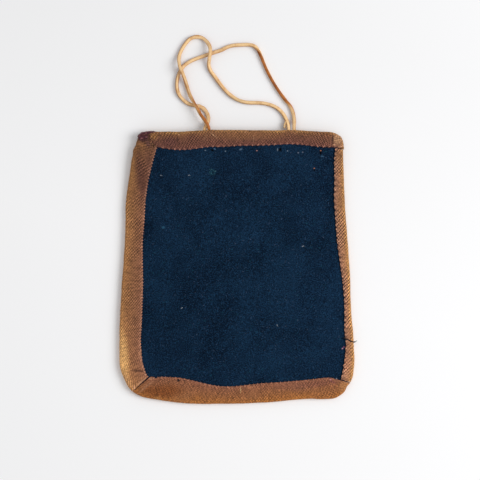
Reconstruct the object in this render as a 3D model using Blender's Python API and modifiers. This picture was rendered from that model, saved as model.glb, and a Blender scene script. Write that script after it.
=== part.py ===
# Flat handmade bag lying on its beaded face: a wool back and a hide front, closed by cloth
# bindings on three edges, open at the mouth (+Y), with two loose hide thong handles.
import math

import bmesh
import bpy
from mathutils import Vector

# Outline of the bag, in metres
SIDE_HEIGHT = 0.286
BASE_WIDTH = 0.253
MOUTH_WIDTH = 0.223
MOUTH_SKEW = 0.0033
LEFT_BULGE = 0.0039
BASE_SAG = 0.0061
MOUTH_CORNER = 0.012
BASE_CORNER = 0.031

# Bindings: how far each reaches in over the wool at its ends, and how its inner edge bows out
LEFT_REACH_MOUTH = 0.0245
LEFT_REACH_BASE = 0.0326
LEFT_BOW = 0.0118
RIGHT_REACH_MOUTH = 0.0090
RIGHT_REACH_BASE = 0.0164
RIGHT_BOW = 0.0070
MOUTH_REACH = 0.0177
MOUTH_WAVE = 0.0030
BASE_REACH_RIGHT = 0.0193
BASE_REACH_LEFT = 0.0235
BASE_BOW = 0.0096
MOUTH_LAP = 0.0184
MOUTH_DROP = 0.0200
MITRE_SLIT = 0.0010

# Layers, from the bead rows on the table up to the wool
BEAD_THICKNESS = 0.0015
BEAD_ROW_PITCH = 0.0022
BEAD_GROOVE = 0.0006
HIDE_THICKNESS = 0.0010
WOOL_THICKNESS = 0.0013
BINDING_THICKNESS = 0.0009
CLEARANCE = 0.0003
ROLL_DEPTH = 0.0026

# How the wool stands off the hide
BODY_PUFF = 0.0065
MOUTH_PUFF = 0.0048
BASE_RISE = 0.090
LIP_FADE = 0.060

THONG_DIAMETER = 0.0040
THONG_POINT_STEP = 0.0082

# Shares and counts
BASE_JOINT = 0.32
MOUTH_TURN = 0.85
OUTLINE_STEP = 0.010
CLOTH_CELL = 0.0125
ROLL_FACES = 6
LEG_FACES = 3
CORNER_FACES = 6
SMOOTH_ANGLE = math.radians(40)

# The two thongs in millimetres: x, y, and the height of the middle
THONG_A = [
    (-28.9, 132.0, 6.35), (-28.9, 139.0, 6.35), (-28.8, 144.3, 6.8), (-29.0, 148.1, 7.9), (-30.5, 152.2, 8.7),
    (-34.1, 157.9, 8.0), (-38.2, 163.8, 6.8), (-43.3, 173.1, 6.5), (-48.5, 182.3, 4.3), (-51.6, 190.5, 2.4),
    (-54.0, 198.7, 3.4), (-57.1, 207.5, 6.3), (-59.2, 212.3, 6.7), (-60.9, 219.2, 5.4), (-60.7, 226.2, 2.9),
    (-58.1, 232.9, 2.1), (-54.0, 239.4, 2.1), (-48.8, 244.7, 2.1), (-42.3, 246.7, 2.1), (-36.2, 245.6, 2.2),
    (-31.0, 241.2, 3.4), (-27.8, 235.3, 5.7), (-27.5, 229.2, 6.8), (-28.5, 222.7, 5.4), (-29.0, 216.0, 2.9),
    (-27.0, 209.9, 2.1), (-21.8, 202.8, 2.1), (-15.7, 194.5, 2.1), (-9.5, 187.4, 2.1), (-3.4, 182.3, 2.1),
    (3.7, 178.4, 2.1), (12.9, 176.2, 2.1), (26.2, 175.8, 2.1), (36.5, 173.9, 2.1), (44.7, 170.0, 2.1),
    (50.8, 163.8, 2.1), (54.6, 156.6, 3.0), (56.0, 150.8, 5.0), (56.3, 145.4, 6.35), (56.3, 132.6, 6.35),
]
THONG_B = [
    (-33.6, 132.0, 6.35), (-33.6, 139.0, 6.35), (-33.7, 144.3, 6.4), (-33.2, 148.1, 5.4), (-31.5, 151.8, 3.7),
    (-29.9, 156.1, 2.5), (-29.9, 161.5, 2.1), (-32.5, 167.3, 2.1), (-37.2, 171.3, 2.1), (-43.3, 173.0, 2.1),
    (-50.5, 174.8, 2.1), (-56.6, 179.2, 2.1), (-61.2, 185.3, 2.1), (-63.3, 193.6, 2.1), (-62.6, 202.1, 2.1),
    (-59.9, 209.6, 2.1), (-55.2, 216.0, 2.1), (-47.4, 221.2, 2.1), (-38.2, 224.8, 2.1), (-24.9, 229.4, 2.1),
    (-15.7, 232.4, 2.1), (-9.0, 235.7, 2.1), (-2.4, 237.5, 2.1), (5.8, 238.1, 2.1), (12.6, 238.3, 2.1),
    (18.8, 237.2, 2.1), (23.6, 232.8, 2.1), (27.4, 224.9, 2.1), (32.4, 212.6, 2.1), (38.5, 200.7, 2.1),
    (44.7, 190.5, 2.1), (51.9, 180.3, 2.1), (58.0, 172.6, 2.1), (61.4, 164.9, 2.1), (62.5, 157.2, 3.0),
    (62.3, 150.8, 5.0), (62.2, 145.4, 6.35), (62.2, 132.6, 6.35),
]

# Heights that follow from the layers
HIDE_BOTTOM = BEAD_THICKNESS + CLEARANCE
HIDE_TOP = HIDE_BOTTOM + HIDE_THICKNESS
LOWER_FACE = HIDE_BOTTOM - CLEARANCE - BINDING_THICKNESS
COVER = CLEARANCE + BINDING_THICKNESS
LIP_LIFT = 2 * COVER
FULL_LIP = max(MOUTH_DROP, MOUTH_REACH)

# The sharp corners that the four edges run between, base left first and clockwise
CORNERS = [
    Vector((-BASE_WIDTH / 2, 0)),
    Vector((MOUTH_SKEW - MOUTH_WIDTH / 2, SIDE_HEIGHT)),
    Vector((MOUTH_SKEW + MOUTH_WIDTH / 2, SIDE_HEIGHT)),
    Vector((BASE_WIDTH / 2, 0)),
]
CORNER_SIZES = [BASE_CORNER, MOUTH_CORNER, MOUTH_CORNER, BASE_CORNER]


# A hump from 0 at both ends to 1, with its peak moved along by the skew
def hump(share, skew):
    return math.sin(math.pi * share ** skew) ** 2


# A broad bow, nearly level between the ends
def bow(share, power=4):
    return 1 - abs(2 * share - 1) ** power


# The outward side of a line that runs clockwise round the bag
def outward(start, end):
    along = (end - start).normalized()
    return Vector((-along.y, along.x))


# A point on one of the four edges: left, mouth, right, base
def edge_point(edge, share):
    start = CORNERS[edge]
    end = CORNERS[(edge + 1) % 4]
    swell = [LEFT_BULGE * bow(share, 3), 0, 0, BASE_SAG * hump(1 - share, 0.72)][edge]
    return start.lerp(end, share) + outward(start, end) * swell


# A round corner between two edges, as a curve through its own ends
def corner_points(corner):
    size = CORNER_SIZES[corner]
    before = (corner - 1) % 4
    into = 1 - size / (CORNERS[corner] - CORNERS[before]).length
    away = size / (CORNERS[(corner + 1) % 4] - CORNERS[corner]).length
    start = edge_point(before, into)
    end = edge_point(corner, away)
    pull_in = start.lerp(CORNERS[corner], 0.5523)
    pull_out = end.lerp(CORNERS[corner], 0.5523)
    points = []
    for step in range(CORNER_FACES + 1):
        t = step / CORNER_FACES
        s = 1 - t
        points.append(s ** 3 * start + 3 * s * s * t * pull_in + 3 * s * t * t * pull_out + t ** 3 * end)
    return points


# The straight stretch of an edge between its two round corners
def edge_points(edge):
    length = (CORNERS[(edge + 1) % 4] - CORNERS[edge]).length
    first = CORNER_SIZES[edge] / length
    last = 1 - CORNER_SIZES[(edge + 1) % 4] / length
    count = math.ceil(length * (last - first) / OUTLINE_STEP)
    return [edge_point(edge, first + (last - first) * i / count) for i in range(1, count)]


# The whole outline, clockwise from the start of the base left corner, with each corner's place in it
def whole_outline():
    points = []
    corner_spans = []
    for corner in range(4):
        curve = corner_points(corner)
        corner_spans.append((len(points), len(points) + CORNER_FACES))
        points += curve + edge_points(corner)
    return points, corner_spans


OUTLINE, CORNER_SPANS = whole_outline()
LOW = Vector((min(p.x for p in OUTLINE), min(p.y for p in OUTLINE)))
HIGH = Vector((max(p.x for p in OUTLINE), max(p.y for p in OUTLINE)))
CENTRE = (LOW + HIGH) / 2


# Distance along the outline at each of its points, once round
def outline_stations():
    stations = [0.0]
    for a, b in zip(OUTLINE, OUTLINE[1:] + OUTLINE[:1]):
        stations.append(stations[-1] + (b - a).length)
    return stations


STATIONS = outline_stations()
GIRTH = STATIONS[-1]


# The point at a distance along the outline
def point_at(station):
    station %= GIRTH
    for i, (a, b) in enumerate(zip(STATIONS, STATIONS[1:])):
        if station <= b:
            return OUTLINE[i].lerp(OUTLINE[(i + 1) % len(OUTLINE)], (station - a) / (b - a))


# The outline between two distances along it, with a point at each end
def stretch(start, end):
    points = [point_at(start)]
    for lap in (0, GIRTH):
        for station, point in zip(STATIONS, OUTLINE):
            if start + CLEARANCE < station + lap < end - CLEARANCE:
                points.append(point)
    return points + [point_at(end)]


# Where the bindings meet: the mitre, the lap at the mouth, the step below it and the base joint
BASE_LEFT, MOUTH_LEFT, MOUTH_RIGHT, BASE_RIGHT = [(STATIONS[a], STATIONS[b]) for a, b in CORNER_SPANS]
MITRE = sum(BASE_LEFT) / 2
LAP = MOUTH_LEFT[1] + MOUTH_LAP - MOUTH_CORNER
STEP = MOUTH_RIGHT[1] + MOUTH_DROP - MOUTH_CORNER
JOINT = BASE_RIGHT[0] + (BASE_RIGHT[1] - BASE_RIGHT[0]) * BASE_JOINT


# The side edges and the base edge as plain functions of height and width
def left_x(y):
    return edge_point(0, min(max(y / SIDE_HEIGHT, 0), 1)).x


def right_x(y):
    return edge_point(2, min(max(1 - y / SIDE_HEIGHT, 0), 1)).x


def base_y(x):
    return edge_point(3, min(max(0.5 - x / BASE_WIDTH, 0), 1)).y


# Height of the wool's underside over the table
def wool_bottom(x, y):
    middle = (left_x(y) + right_x(y)) / 2
    half = (right_x(y) - left_x(y)) / 2
    across = bow(min(max((x - middle) / half, -1), 1) / 2 + 0.5)
    up = bow(min(max((y - base_y(x)) / BASE_RISE, 0), 1) / 2)
    near_lip = min(max((y - SIDE_HEIGHT + FULL_LIP + LIP_FADE) / LIP_FADE, 0), 1)
    near_lip *= near_lip * (3 - 2 * near_lip)
    puff = (BODY_PUFF + (MOUTH_PUFF - BODY_PUFF) * near_lip) * across * up
    return HIDE_TOP + CLEARANCE + puff + LIP_LIFT * near_lip


# Outer faces of the binding cloth over and under the layers that it wraps
def over_wool(x, y):
    return wool_bottom(x, y) + WOOL_THICKNESS + COVER


def under_wool(x, y):
    return wool_bottom(x, y) - COVER


def over_hide(x, y):
    return HIDE_TOP + COVER


def under_hide(x, y):
    return LOWER_FACE


# Inner corners of the four bindings
def inner_corners():
    mouth = SIDE_HEIGHT - MOUTH_REACH
    return [
        Vector((left_x(BASE_REACH_LEFT) + LEFT_REACH_BASE, BASE_REACH_LEFT)),
        Vector((left_x(mouth) + LEFT_REACH_MOUTH, mouth)),
        Vector((right_x(mouth) - RIGHT_REACH_MOUTH, mouth)),
        Vector((right_x(BASE_REACH_RIGHT) - RIGHT_REACH_BASE, BASE_REACH_RIGHT)),
    ]


INNER = inner_corners()


# A point on the inner edge of one binding, from its first corner to its last
def inner_point(edge, share):
    start = INNER[edge]
    end = INNER[(edge + 1) % 4]
    mouth_wave = -MOUTH_WAVE * math.sin(2 * math.pi * share)
    swell = [LEFT_BOW * bow(share), mouth_wave, RIGHT_BOW * hump(share, 2.4), BASE_BOW * hump(share, 1.4)][edge]
    return start.lerp(end, share) + outward(start, end) * swell


# Shares of the way along the inner edge for the points of the outer edge
def inner_shares(outer, edge):
    axis = (INNER[(edge + 1) % 4] - INNER[edge]).normalized()
    walked = [0.0]
    for a, b in zip(outer, outer[1:]):
        walked.append(walked[-1] + abs((b - a).dot(axis)) + 0.05 * (b - a).length)
    return [w / walked[-1] for w in walked]


# Link an object into a collection, with smooth faces and its own material
def finish(obj, collection, look):
    collection.objects.link(obj)
    if obj.type == "MESH":
        obj.data.shade_smooth()
        obj.data.set_sharp_from_angle(angle=SMOOTH_ANGLE)
    name, colour, roughness = look
    material = bpy.data.materials.new(name)
    material.use_nodes = True
    shader = material.node_tree.nodes["Principled BSDF"]
    shader.inputs["Base Color"].default_value = (*colour, 1)
    shader.inputs["Roughness"].default_value = roughness
    shader.inputs["Metallic"].default_value = 0
    obj.data.materials.append(material)
    return obj


# A new object from an edited mesh, moved so that the bag is centred on the origin
def mesh_object(name, bm):
    bmesh.ops.translate(bm, verts=bm.verts, vec=(-CENTRE.x, -CENTRE.y, 0))
    mesh = bpy.data.meshes.new(name)
    bm.to_mesh(mesh)
    bm.free()
    return bpy.data.objects.new(name, mesh)


# Give an open surface its thickness, on the side that the offset names
def thicken(obj, thickness, offset):
    solid = obj.modifiers.new("Thickness", "SOLIDIFY")
    solid.thickness = thickness
    solid.offset = offset
    solid.use_even_offset = True
    return obj


# One face over the panel's outline, which lies inside the rolled bindings
def panel_face(bm):
    points = []
    for before, point, after in zip(OUTLINE[-1:] + OUTLINE, OUTLINE, OUTLINE[1:] + OUTLINE[:1]):
        points.append(point - outward(before, after) * ROLL_DEPTH)
    bm.faces.new([bm.verts.new((p.x, p.y, 0)) for p in reversed(points)])


# Cut a sheet into cells at even steps along one axis
def cut_cells(bm, axis, low, high):
    count = math.ceil((high - low) / CLOTH_CELL)
    normal = Vector((0, 0, 0))
    normal[axis] = 1
    for i in range(1, count):
        place = normal * (low + (high - low) * i / count)
        bmesh.ops.bisect_plane(bm, geom=bm.verts[:] + bm.edges[:] + bm.faces[:], plane_co=place, plane_no=normal)


# The wool back: a flat cut sheet, lifted to its crown and its raised lip
def back_panel():
    bm = bmesh.new()
    panel_face(bm)
    cut_cells(bm, 0, LOW.x, HIGH.x)
    cut_cells(bm, 1, LOW.y, HIGH.y)
    for vert in bm.verts:
        vert.co.z = wool_bottom(vert.co.x, vert.co.y)
    return thicken(mesh_object("back_panel", bm), WOOL_THICKNESS, 1)


# The hide front, flat behind the beads
def front_panel():
    bm = bmesh.new()
    panel_face(bm)
    bmesh.ops.translate(bm, verts=bm.verts, vec=(0, 0, HIDE_BOTTOM))
    return thicken(mesh_object("front_panel", bm), HIDE_THICKNESS, 1)


# The section of a binding: how far in it is, and which way it faces, from its under hem to its upper
def binding_section(under_reach, over_reach):
    legs = [1 - i / LEG_FACES for i in range(LEG_FACES)]
    section = [(under_reach * leg, -1, None) for leg in legs]
    for i in range(ROLL_FACES + 1):
        section.append((0, 0, math.pi * (i / ROLL_FACES - 0.5)))
    return section + [(over_reach * leg, 1, None) for leg in reversed(legs)]


# A point of the binding between its outer edge and its inner edge
def binding_point(outer, inner, step, under, over):
    leg, side, turn = step
    width = (inner - outer).length
    root = outer.lerp(inner, ROLL_DEPTH / width)
    if side:
        place = root.lerp(inner, leg)
        return Vector((place.x, place.y, (over if side > 0 else under)(place.x, place.y)))
    top = over(root.x, root.y)
    bottom = under(root.x, root.y)
    place = outer.lerp(inner, ROLL_DEPTH * (1 - math.cos(turn)) / width)
    return Vector((place.x, place.y, (top + bottom) / 2 + (top - bottom) / 2 * math.sin(turn)))


# A folded strip of cloth over one edge of the bag, between two stations on the outline
def binding(name, edge, span, gaps, faces, reaches):
    outer = stretch(span[0] + gaps[0] / 2, span[1] - gaps[1] / 2)
    length = (INNER[(edge + 1) % 4] - INNER[edge]).length
    first = gaps[0] / 2 / length
    last = 1 - gaps[1] / 2 / length
    shares = [first + (last - first) * share for share in inner_shares(outer, edge)]
    section = binding_section(*reaches)
    bm = bmesh.new()
    bmesh.ops.create_grid(bm, x_segments=len(outer) - 1, y_segments=len(section) - 1, size=0.5)
    for vert in bm.verts:
        i = round((vert.co.x + 0.5) * (len(outer) - 1))
        j = round((vert.co.y + 0.5) * (len(section) - 1))
        vert.co = binding_point(outer[i], inner_point(edge, shares[i]), section[j], *faces)
    bmesh.ops.reverse_faces(bm, faces=bm.faces)
    return thicken(mesh_object(name, bm), BINDING_THICKNESS, -1)


# The five strips that bind the bag
def bindings():
    both = (under_hide, over_wool)
    tight = (CLEARANCE, CLEARANCE)
    return [
        binding("left_binding", 0, (MITRE, LAP), (MITRE_SLIT, CLEARANCE), both, (1, 1)),
        binding("right_binding", 2, (STEP, JOINT), tight, both, (1, 1)),
        binding("bottom_binding", 3, (JOINT, MITRE + GIRTH), (CLEARANCE, MITRE_SLIT), both, (1, 1)),
        binding("back_mouth_binding", 1, (LAP, STEP), tight, (under_wool, over_wool), (MOUTH_TURN, 1)),
        binding("front_mouth_binding", 1, (LAP, STEP), tight, (under_hide, over_hide), (1, MOUTH_TURN)),
    ]


# The field inside the bindings, cut to shape by this plug
def field_plug(cutters):
    bm = bmesh.new()
    points = []
    for edge in range(4):
        points += [inner_point(edge, i / 24) for i in range(24)]
    inset = []
    for before, point, after in zip(points[-1:] + points, points, points[1:] + points[:1]):
        inset.append(point - outward(before, after) * 2 * CLEARANCE)
    face = bm.faces.new([bm.verts.new((p.x, p.y, -BEAD_THICKNESS)) for p in reversed(inset)])
    grown = bmesh.ops.extrude_face_region(bm, geom=[face])["geom"]
    lifted = [item for item in grown if isinstance(item, bmesh.types.BMVert)]
    bmesh.ops.translate(bm, verts=lifted, vec=(0, 0, 3 * BEAD_THICKNESS))
    bmesh.ops.recalc_face_normals(bm, faces=bm.faces)
    plug = mesh_object("field_plug", bm)
    cutters.objects.link(plug)
    plug.hide_render = True
    plug.display_type = "WIRE"
    return plug


# The section through the bead rows: each row is a flat crest between two grooves
def row_profile(rows):
    points = []
    for row in range(rows):
        start = (row - rows / 2) * BEAD_ROW_PITCH
        points.append((start, BEAD_GROOVE))
        points.append((start + 0.28 * BEAD_ROW_PITCH, 0))
        points.append((start + 0.72 * BEAD_ROW_PITCH, 0))
    edge = rows / 2 * BEAD_ROW_PITCH
    return points + [(edge, BEAD_GROOVE), (edge, BEAD_THICKNESS), (-edge, BEAD_THICKNESS)]


# The beadwork: rows of seed beads across the front, as ridges under one sheet
def beadwork(cutters):
    rows = 2 * math.ceil((HIGH.y - LOW.y) / BEAD_ROW_PITCH / 2)
    curve = bpy.data.curves.new("bead_rows", "CURVE")
    curve.dimensions = "2D"
    curve.fill_mode = "BOTH"
    curve.extrude = (HIGH.x - LOW.x) / 2
    profile = row_profile(rows)
    spline = curve.splines.new("POLY")
    spline.points.add(len(profile) - 1)
    for point, (along, height) in zip(spline.points, profile):
        point.co = (along, height, 0, 1)
    spline.use_cyclic_u = True
    strip = bpy.data.objects.new("bead_rows", curve)
    bpy.context.scene.collection.objects.link(strip)
    mesh = bpy.data.meshes.new_from_object(strip.evaluated_get(bpy.context.evaluated_depsgraph_get()))
    bpy.data.objects.remove(strip)
    bm = bmesh.new()
    bm.from_mesh(mesh)
    bmesh.ops.remove_doubles(bm, verts=bm.verts, dist=CLEARANCE / 100)
    for vert in bm.verts:
        along, height, across = vert.co
        vert.co = (across, along, height)
    bmesh.ops.recalc_face_normals(bm, faces=bm.faces)
    bm.to_mesh(mesh)
    bm.free()
    mesh.name = "beadwork"
    obj = bpy.data.objects.new("beadwork", mesh)
    trim = obj.modifiers.new("Trim", "BOOLEAN")
    trim.operation = "INTERSECT"
    trim.object = field_plug(cutters)
    return obj


# A smooth line through the route's points, read at even steps
def smooth_route(route):
    points = [Vector(p) / 1000 for p in route]
    padded = [2 * points[0] - points[1]] + points + [2 * points[-1] - points[-2]]
    line = []
    for a, b, c, d in zip(padded, padded[1:], padded[2:], padded[3:]):
        for i in range(12):
            t = i / 12
            bend = 2 * b + (c - a) * t + (2 * a - 5 * b + 4 * c - d) * t * t + (3 * b - a - 3 * c + d) * t ** 3
            line.append(bend / 2)
    line.append(points[-1])
    return even_steps(line, THONG_POINT_STEP)


# Points at even distances along a line
def even_steps(line, step):
    walked = [0.0]
    for a, b in zip(line, line[1:]):
        walked.append(walked[-1] + (b - a).length)
    count = round(walked[-1] / step)
    places = [walked[-1] * i / count for i in range(count + 1)]
    result = []
    i = 0
    for place in places:
        while walked[i + 1] < place and i < len(line) - 2:
            i += 1
        result.append(line[i].lerp(line[i + 1], (place - walked[i]) / (walked[i + 1] - walked[i])))
    return result


# A thong as a plain round cord along its route
def thong(name, route):
    curve = bpy.data.curves.new(name, "CURVE")
    curve.dimensions = "3D"
    curve.bevel_depth = THONG_DIAMETER / 2
    curve.bevel_resolution = 2
    curve.use_fill_caps = True
    points = smooth_route(route)
    spline = curve.splines.new("POLY")
    spline.points.add(len(points) - 1)
    for point, place in zip(spline.points, points):
        point.co = (*place, 1)
    return bpy.data.objects.new(name, curve)


LOOKS = {
    "wool": ("navy_wool", (0.006, 0.018, 0.042), 0.95),
    "binding": ("brown_twill", (0.20, 0.095, 0.050), 0.85),
    "hide": ("tanned_hide", (0.55, 0.38, 0.22), 0.80),
    "beads": ("glass_seed_beads", (0.62, 0.58, 0.48), 0.30),
    "thong": ("hide_thong", (0.72, 0.46, 0.22), 0.75),
}


# Clear the scene, then build every piece
def main():
    for obj in list(bpy.data.objects):
        bpy.data.objects.remove(obj)
    bag = bpy.data.collections.new("flat_bag")
    cutters = bpy.data.collections.new("cutters")
    bpy.context.scene.collection.children.link(bag)
    bpy.context.scene.collection.children.link(cutters)
    finish(back_panel(), bag, LOOKS["wool"])
    finish(front_panel(), bag, LOOKS["hide"])
    finish(beadwork(cutters), bag, LOOKS["beads"])
    for strip in bindings():
        finish(strip, bag, LOOKS["binding"])
    finish(thong("thong_a", THONG_A), bag, LOOKS["thong"])
    finish(thong("thong_b", THONG_B), bag, LOOKS["thong"])


main()
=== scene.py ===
import math
import random

import bmesh
import bpy
import numpy as np
from mathutils import Matrix, Vector, noise


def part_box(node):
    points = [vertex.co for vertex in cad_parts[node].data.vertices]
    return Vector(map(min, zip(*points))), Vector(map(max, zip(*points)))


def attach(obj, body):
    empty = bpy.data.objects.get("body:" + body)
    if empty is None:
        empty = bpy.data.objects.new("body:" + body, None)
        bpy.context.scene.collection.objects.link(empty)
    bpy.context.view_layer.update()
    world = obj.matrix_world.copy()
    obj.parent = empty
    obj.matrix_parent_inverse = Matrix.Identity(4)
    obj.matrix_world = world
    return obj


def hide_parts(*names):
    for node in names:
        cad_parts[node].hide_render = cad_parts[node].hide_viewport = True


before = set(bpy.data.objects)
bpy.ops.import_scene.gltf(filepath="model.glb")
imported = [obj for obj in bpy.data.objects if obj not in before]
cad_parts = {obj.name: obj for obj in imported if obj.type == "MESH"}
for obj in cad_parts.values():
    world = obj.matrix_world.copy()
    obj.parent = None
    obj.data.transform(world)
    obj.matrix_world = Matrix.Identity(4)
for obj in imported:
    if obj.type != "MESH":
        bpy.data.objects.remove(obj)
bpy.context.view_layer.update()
bpy.ops.object.select_all(action="DESELECT")
mm = 0.001
chance = random.Random(7)

# camera, straight over the bag
view = {"x": 0.0044, "y": 0.0288, "height": 1.6, "level": 0.006, "span": 0.5136, "sensor": 36}
bpy.ops.object.camera_add(location=(view["x"], view["y"], view["height"]), rotation=(0, 0, 0))
camera = bpy.context.object
camera.data.sensor_width = view["sensor"]
camera.data.lens = view["sensor"] * (view["height"] - view["level"]) / view["span"]
bpy.context.scene.camera = camera
bpy.context.scene.view_settings.view_transform = "Standard"
print("camera in place")


# small helpers for meshes

# a smooth line through the points, read at even steps
def evenLine(points, count, fine=10):
    points = [Vector(p) for p in points]
    padded = [2 * points[0] - points[1]] + points + [2 * points[-1] - points[-2]]
    line = []
    for a, b, c, d in zip(padded, padded[1:], padded[2:], padded[3:]):
        for i in range(fine):
            t = i / fine
            bend = 2 * b + (c - a) * t + (2 * a - 5 * b + 4 * c - d) * t * t + (3 * b - a - 3 * c + d) * t ** 3
            line.append(bend / 2)
    line.append(points[-1])
    walked = walkedAlong(line)
    result = []
    i = 0
    for step in range(count + 1):
        place = walked[-1] * step / count
        while walked[i + 1] < place and i < len(line) - 2:
            i += 1
        result.append(line[i].lerp(line[i + 1], (place - walked[i]) / (walked[i + 1] - walked[i])))
    return result


def walkedAlong(line):
    walked = [0.0]
    for a, b in zip(line, line[1:]):
        walked.append(walked[-1] + (b - a).length)
    return walked


def inMetres(points):
    return [Vector(p) * mm for p in points]


def uneven(x, y, z):
    return noise.noise(Vector((x, y, z)))


def seedOf(name):
    return sum(ord(letter) for letter in name) * 0.37


def smoothStep(value, low, high):
    t = min(max((value - low) / (high - low), 0), 1)
    return t * t * (3 - 2 * t)


# reads a value off a list of (place, value) pairs, eased between them
def readOff(pairs, place):
    for (p, a), (q, b) in zip(pairs, pairs[1:]):
        if place <= q:
            return a + (b - a) * smoothStep(place, p, q)
    return pairs[-1][1]


def plainMesh(name, verts, faces):
    mesh = bpy.data.meshes.new(name)
    mesh.from_pydata(verts, [], faces)
    mesh.update()
    piece = bpy.data.objects.new(name, mesh)
    bpy.context.scene.collection.objects.link(piece)
    return piece


def selectOnly(piece):
    bpy.ops.object.select_all(action="DESELECT")
    piece.select_set(True)
    bpy.context.view_layer.objects.active = piece


def smoothShade(piece, degrees):
    selectOnly(piece)
    bpy.ops.object.shade_smooth_by_angle(angle=math.radians(degrees))
    bpy.ops.object.select_all(action="DESELECT")


# gives a sheet its wall, inwards from its outer face
def thicken(piece, thickness, group=""):
    wall = piece.modifiers.new("Thickness", "SOLIDIFY")
    wall.thickness = thickness
    wall.offset = -1
    wall.vertex_group = group
    selectOnly(piece)
    bpy.ops.object.modifier_apply(modifier=wall.name)
    bpy.ops.object.select_all(action="DESELECT")


# faces of a tube whose rings of points are stored one after another, with closed ends
def tubeFaces(rings, sides, start=0):
    faces = []
    for i in range(rings - 1):
        for j in range(sides):
            k = (j + 1) % sides
            a = start + i * sides
            faces.append((a + j, a + k, a + sides + k, a + sides + j))
    last = start + (rings - 1) * sides
    faces.append(tuple(start + j for j in reversed(range(sides))))
    faces.append(tuple(last + j for j in range(sides)))
    return faces


# two directions square to a line's own, the second one as near upright as it can be
def crossAxes(along):
    side = along.cross(Vector((0, 0, 1)))
    if side.length < 1e-6:
        side = along.cross(Vector((0, 1, 0)))
    side.normalize()
    return side, side.cross(along).normalized()


# points of a round thread along a line, thinner at its ends
def threadTube(points, radius, sides, taper):
    verts = []
    for i, p in enumerate(points):
        along = (points[min(i + 1, len(points) - 1)] - points[max(i - 1, 0)]).normalized()
        side, up = crossAxes(along)
        size = radius * (taper if i in (0, len(points) - 1) else 1)
        for j in range(sides):
            turn = 2 * math.pi * j / sides
            verts.append(p + (side * math.cos(turn) + up * math.sin(turn)) * size)
    return verts


def addThread(verts, faces, points, radius, sides, taper):
    faces += tubeFaces(len(points), sides, len(verts))
    verts += threadTube(points, radius, sides, taper)


def settle(piece):
    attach(piece, "root")


# finish, smooth shading, and the CAD node that the piece stands for
def dress(piece, finish, degrees=80, node=None):
    piece.data.materials.append(finish)
    smoothShade(piece, degrees)
    if node:
        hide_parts(node)
    settle(piece)


# small helpers for materials; colours are written as the eye reads them, 0 to 255

def tone(red, green, blue):
    return tuple((c / 255 / 12.92) if c < 10.3 else ((c / 255 + 0.055) / 1.055) ** 2.4 for c in (red, green, blue))


def newMaterial(name, roughness, specular=0.3, sheen=0.0, sheenColour=(255, 255, 255), sheenRoughness=0.5):
    material = bpy.data.materials.new(name)
    material.use_nodes = True
    shader = material.node_tree.nodes["Principled BSDF"]
    shader.inputs["Roughness"].default_value = roughness
    shader.inputs["Specular IOR Level"].default_value = specular
    shader.inputs["Sheen Weight"].default_value = sheen
    shader.inputs["Sheen Tint"].default_value = (*tone(*sheenColour), 1)
    shader.inputs["Sheen Roughness"].default_value = sheenRoughness
    return material


def addNode(material, kind, inputs=None, **settings):
    made = material.node_tree.nodes.new(kind)
    for key, value in settings.items():
        setattr(made, key, value)
    for key, value in (inputs or {}).items():
        join(material, value, made.inputs[key])
    return made


def join(material, value, socket):
    if isinstance(value, bpy.types.NodeSocket):
        material.node_tree.links.new(value, socket)
    elif socket.type == "RGBA" and len(value) == 3:
        socket.default_value = (*value, 1)
    else:
        socket.default_value = value


def objectPlace(material):
    return addNode(material, "ShaderNodeTexCoord").outputs["Object"]


def noiseOf(material, place, scale, detail=2.0, rough=0.5, stretch=(1, 1, 1), turn=0.0):
    turned = addNode(material, "ShaderNodeMapping", {"Vector": place, "Scale": stretch, "Rotation": (0, 0, turn)})
    inputs = {"Vector": turned.outputs[0], "Scale": scale, "Detail": detail, "Roughness": rough}
    return addNode(material, "ShaderNodeTexNoise", inputs).outputs["Fac"]


def sums(material, operation, a, b=0.0, c=0.0):
    made = addNode(material, "ShaderNodeMath", operation=operation)
    for socket, value in zip(made.inputs, (a, b, c)):
        join(material, value, socket)
    return made.outputs[0]


def spread(material, value, low, high, least=0.0, most=1.0):
    inputs = {"Value": value, "From Min": low, "From Max": high, "To Min": least, "To Max": most}
    return addNode(material, "ShaderNodeMapRange", inputs).outputs[0]


def blendOf(material, share, first, second):
    made = addNode(material, "ShaderNodeMix", data_type="RGBA")
    for socket, value in ((made.inputs[0], share), (made.inputs[6], first), (made.inputs[7], second)):
        join(material, value, socket)
    return made.outputs[2]


# the two outer stops come first, then those between them
def rampOf(material, share, stops):
    made = addNode(material, "ShaderNodeValToRGB", {"Fac": share})
    band = made.color_ramp
    for i, (place, colour) in enumerate(stops):
        stop = band.elements[i] if i < 2 else band.elements.new(place)
        stop.position = place
        stop.color = (*tone(*colour), 1)
    return made.outputs[0]


# a soft round or long patch: 1 at its middle, 0 past its reach
def patchOf(material, place, middle, reach, turn=0.0):
    middle = (*(c * mm for c in middle), 0)
    moved = addNode(material, "ShaderNodeVectorMath", {0: place, 1: middle}, operation="SUBTRACT")
    turned = addNode(material, "ShaderNodeVectorRotate", {"Vector": moved.outputs[0], "Angle": -math.radians(turn)})
    scale = (1 / (reach[0] * mm), 1 / (reach[1] * mm), 0)
    sized = addNode(material, "ShaderNodeVectorMath", {0: turned.outputs[0], 1: scale}, operation="MULTIPLY")
    far = addNode(material, "ShaderNodeVectorMath", {0: sized.outputs[0]}, operation="LENGTH")
    return spread(material, far.outputs["Value"], 1.0, 0.35)


# patches of colour, each with its middle, reach, turn, shade and weight
def painted(material, place, colour, patches):
    for middle, reach, turn, shade, weight in patches:
        share = sums(material, "MULTIPLY", patchOf(material, place, middle, reach, turn), weight)
        colour = blendOf(material, share, colour, tone(*shade))
    return colour


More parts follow.
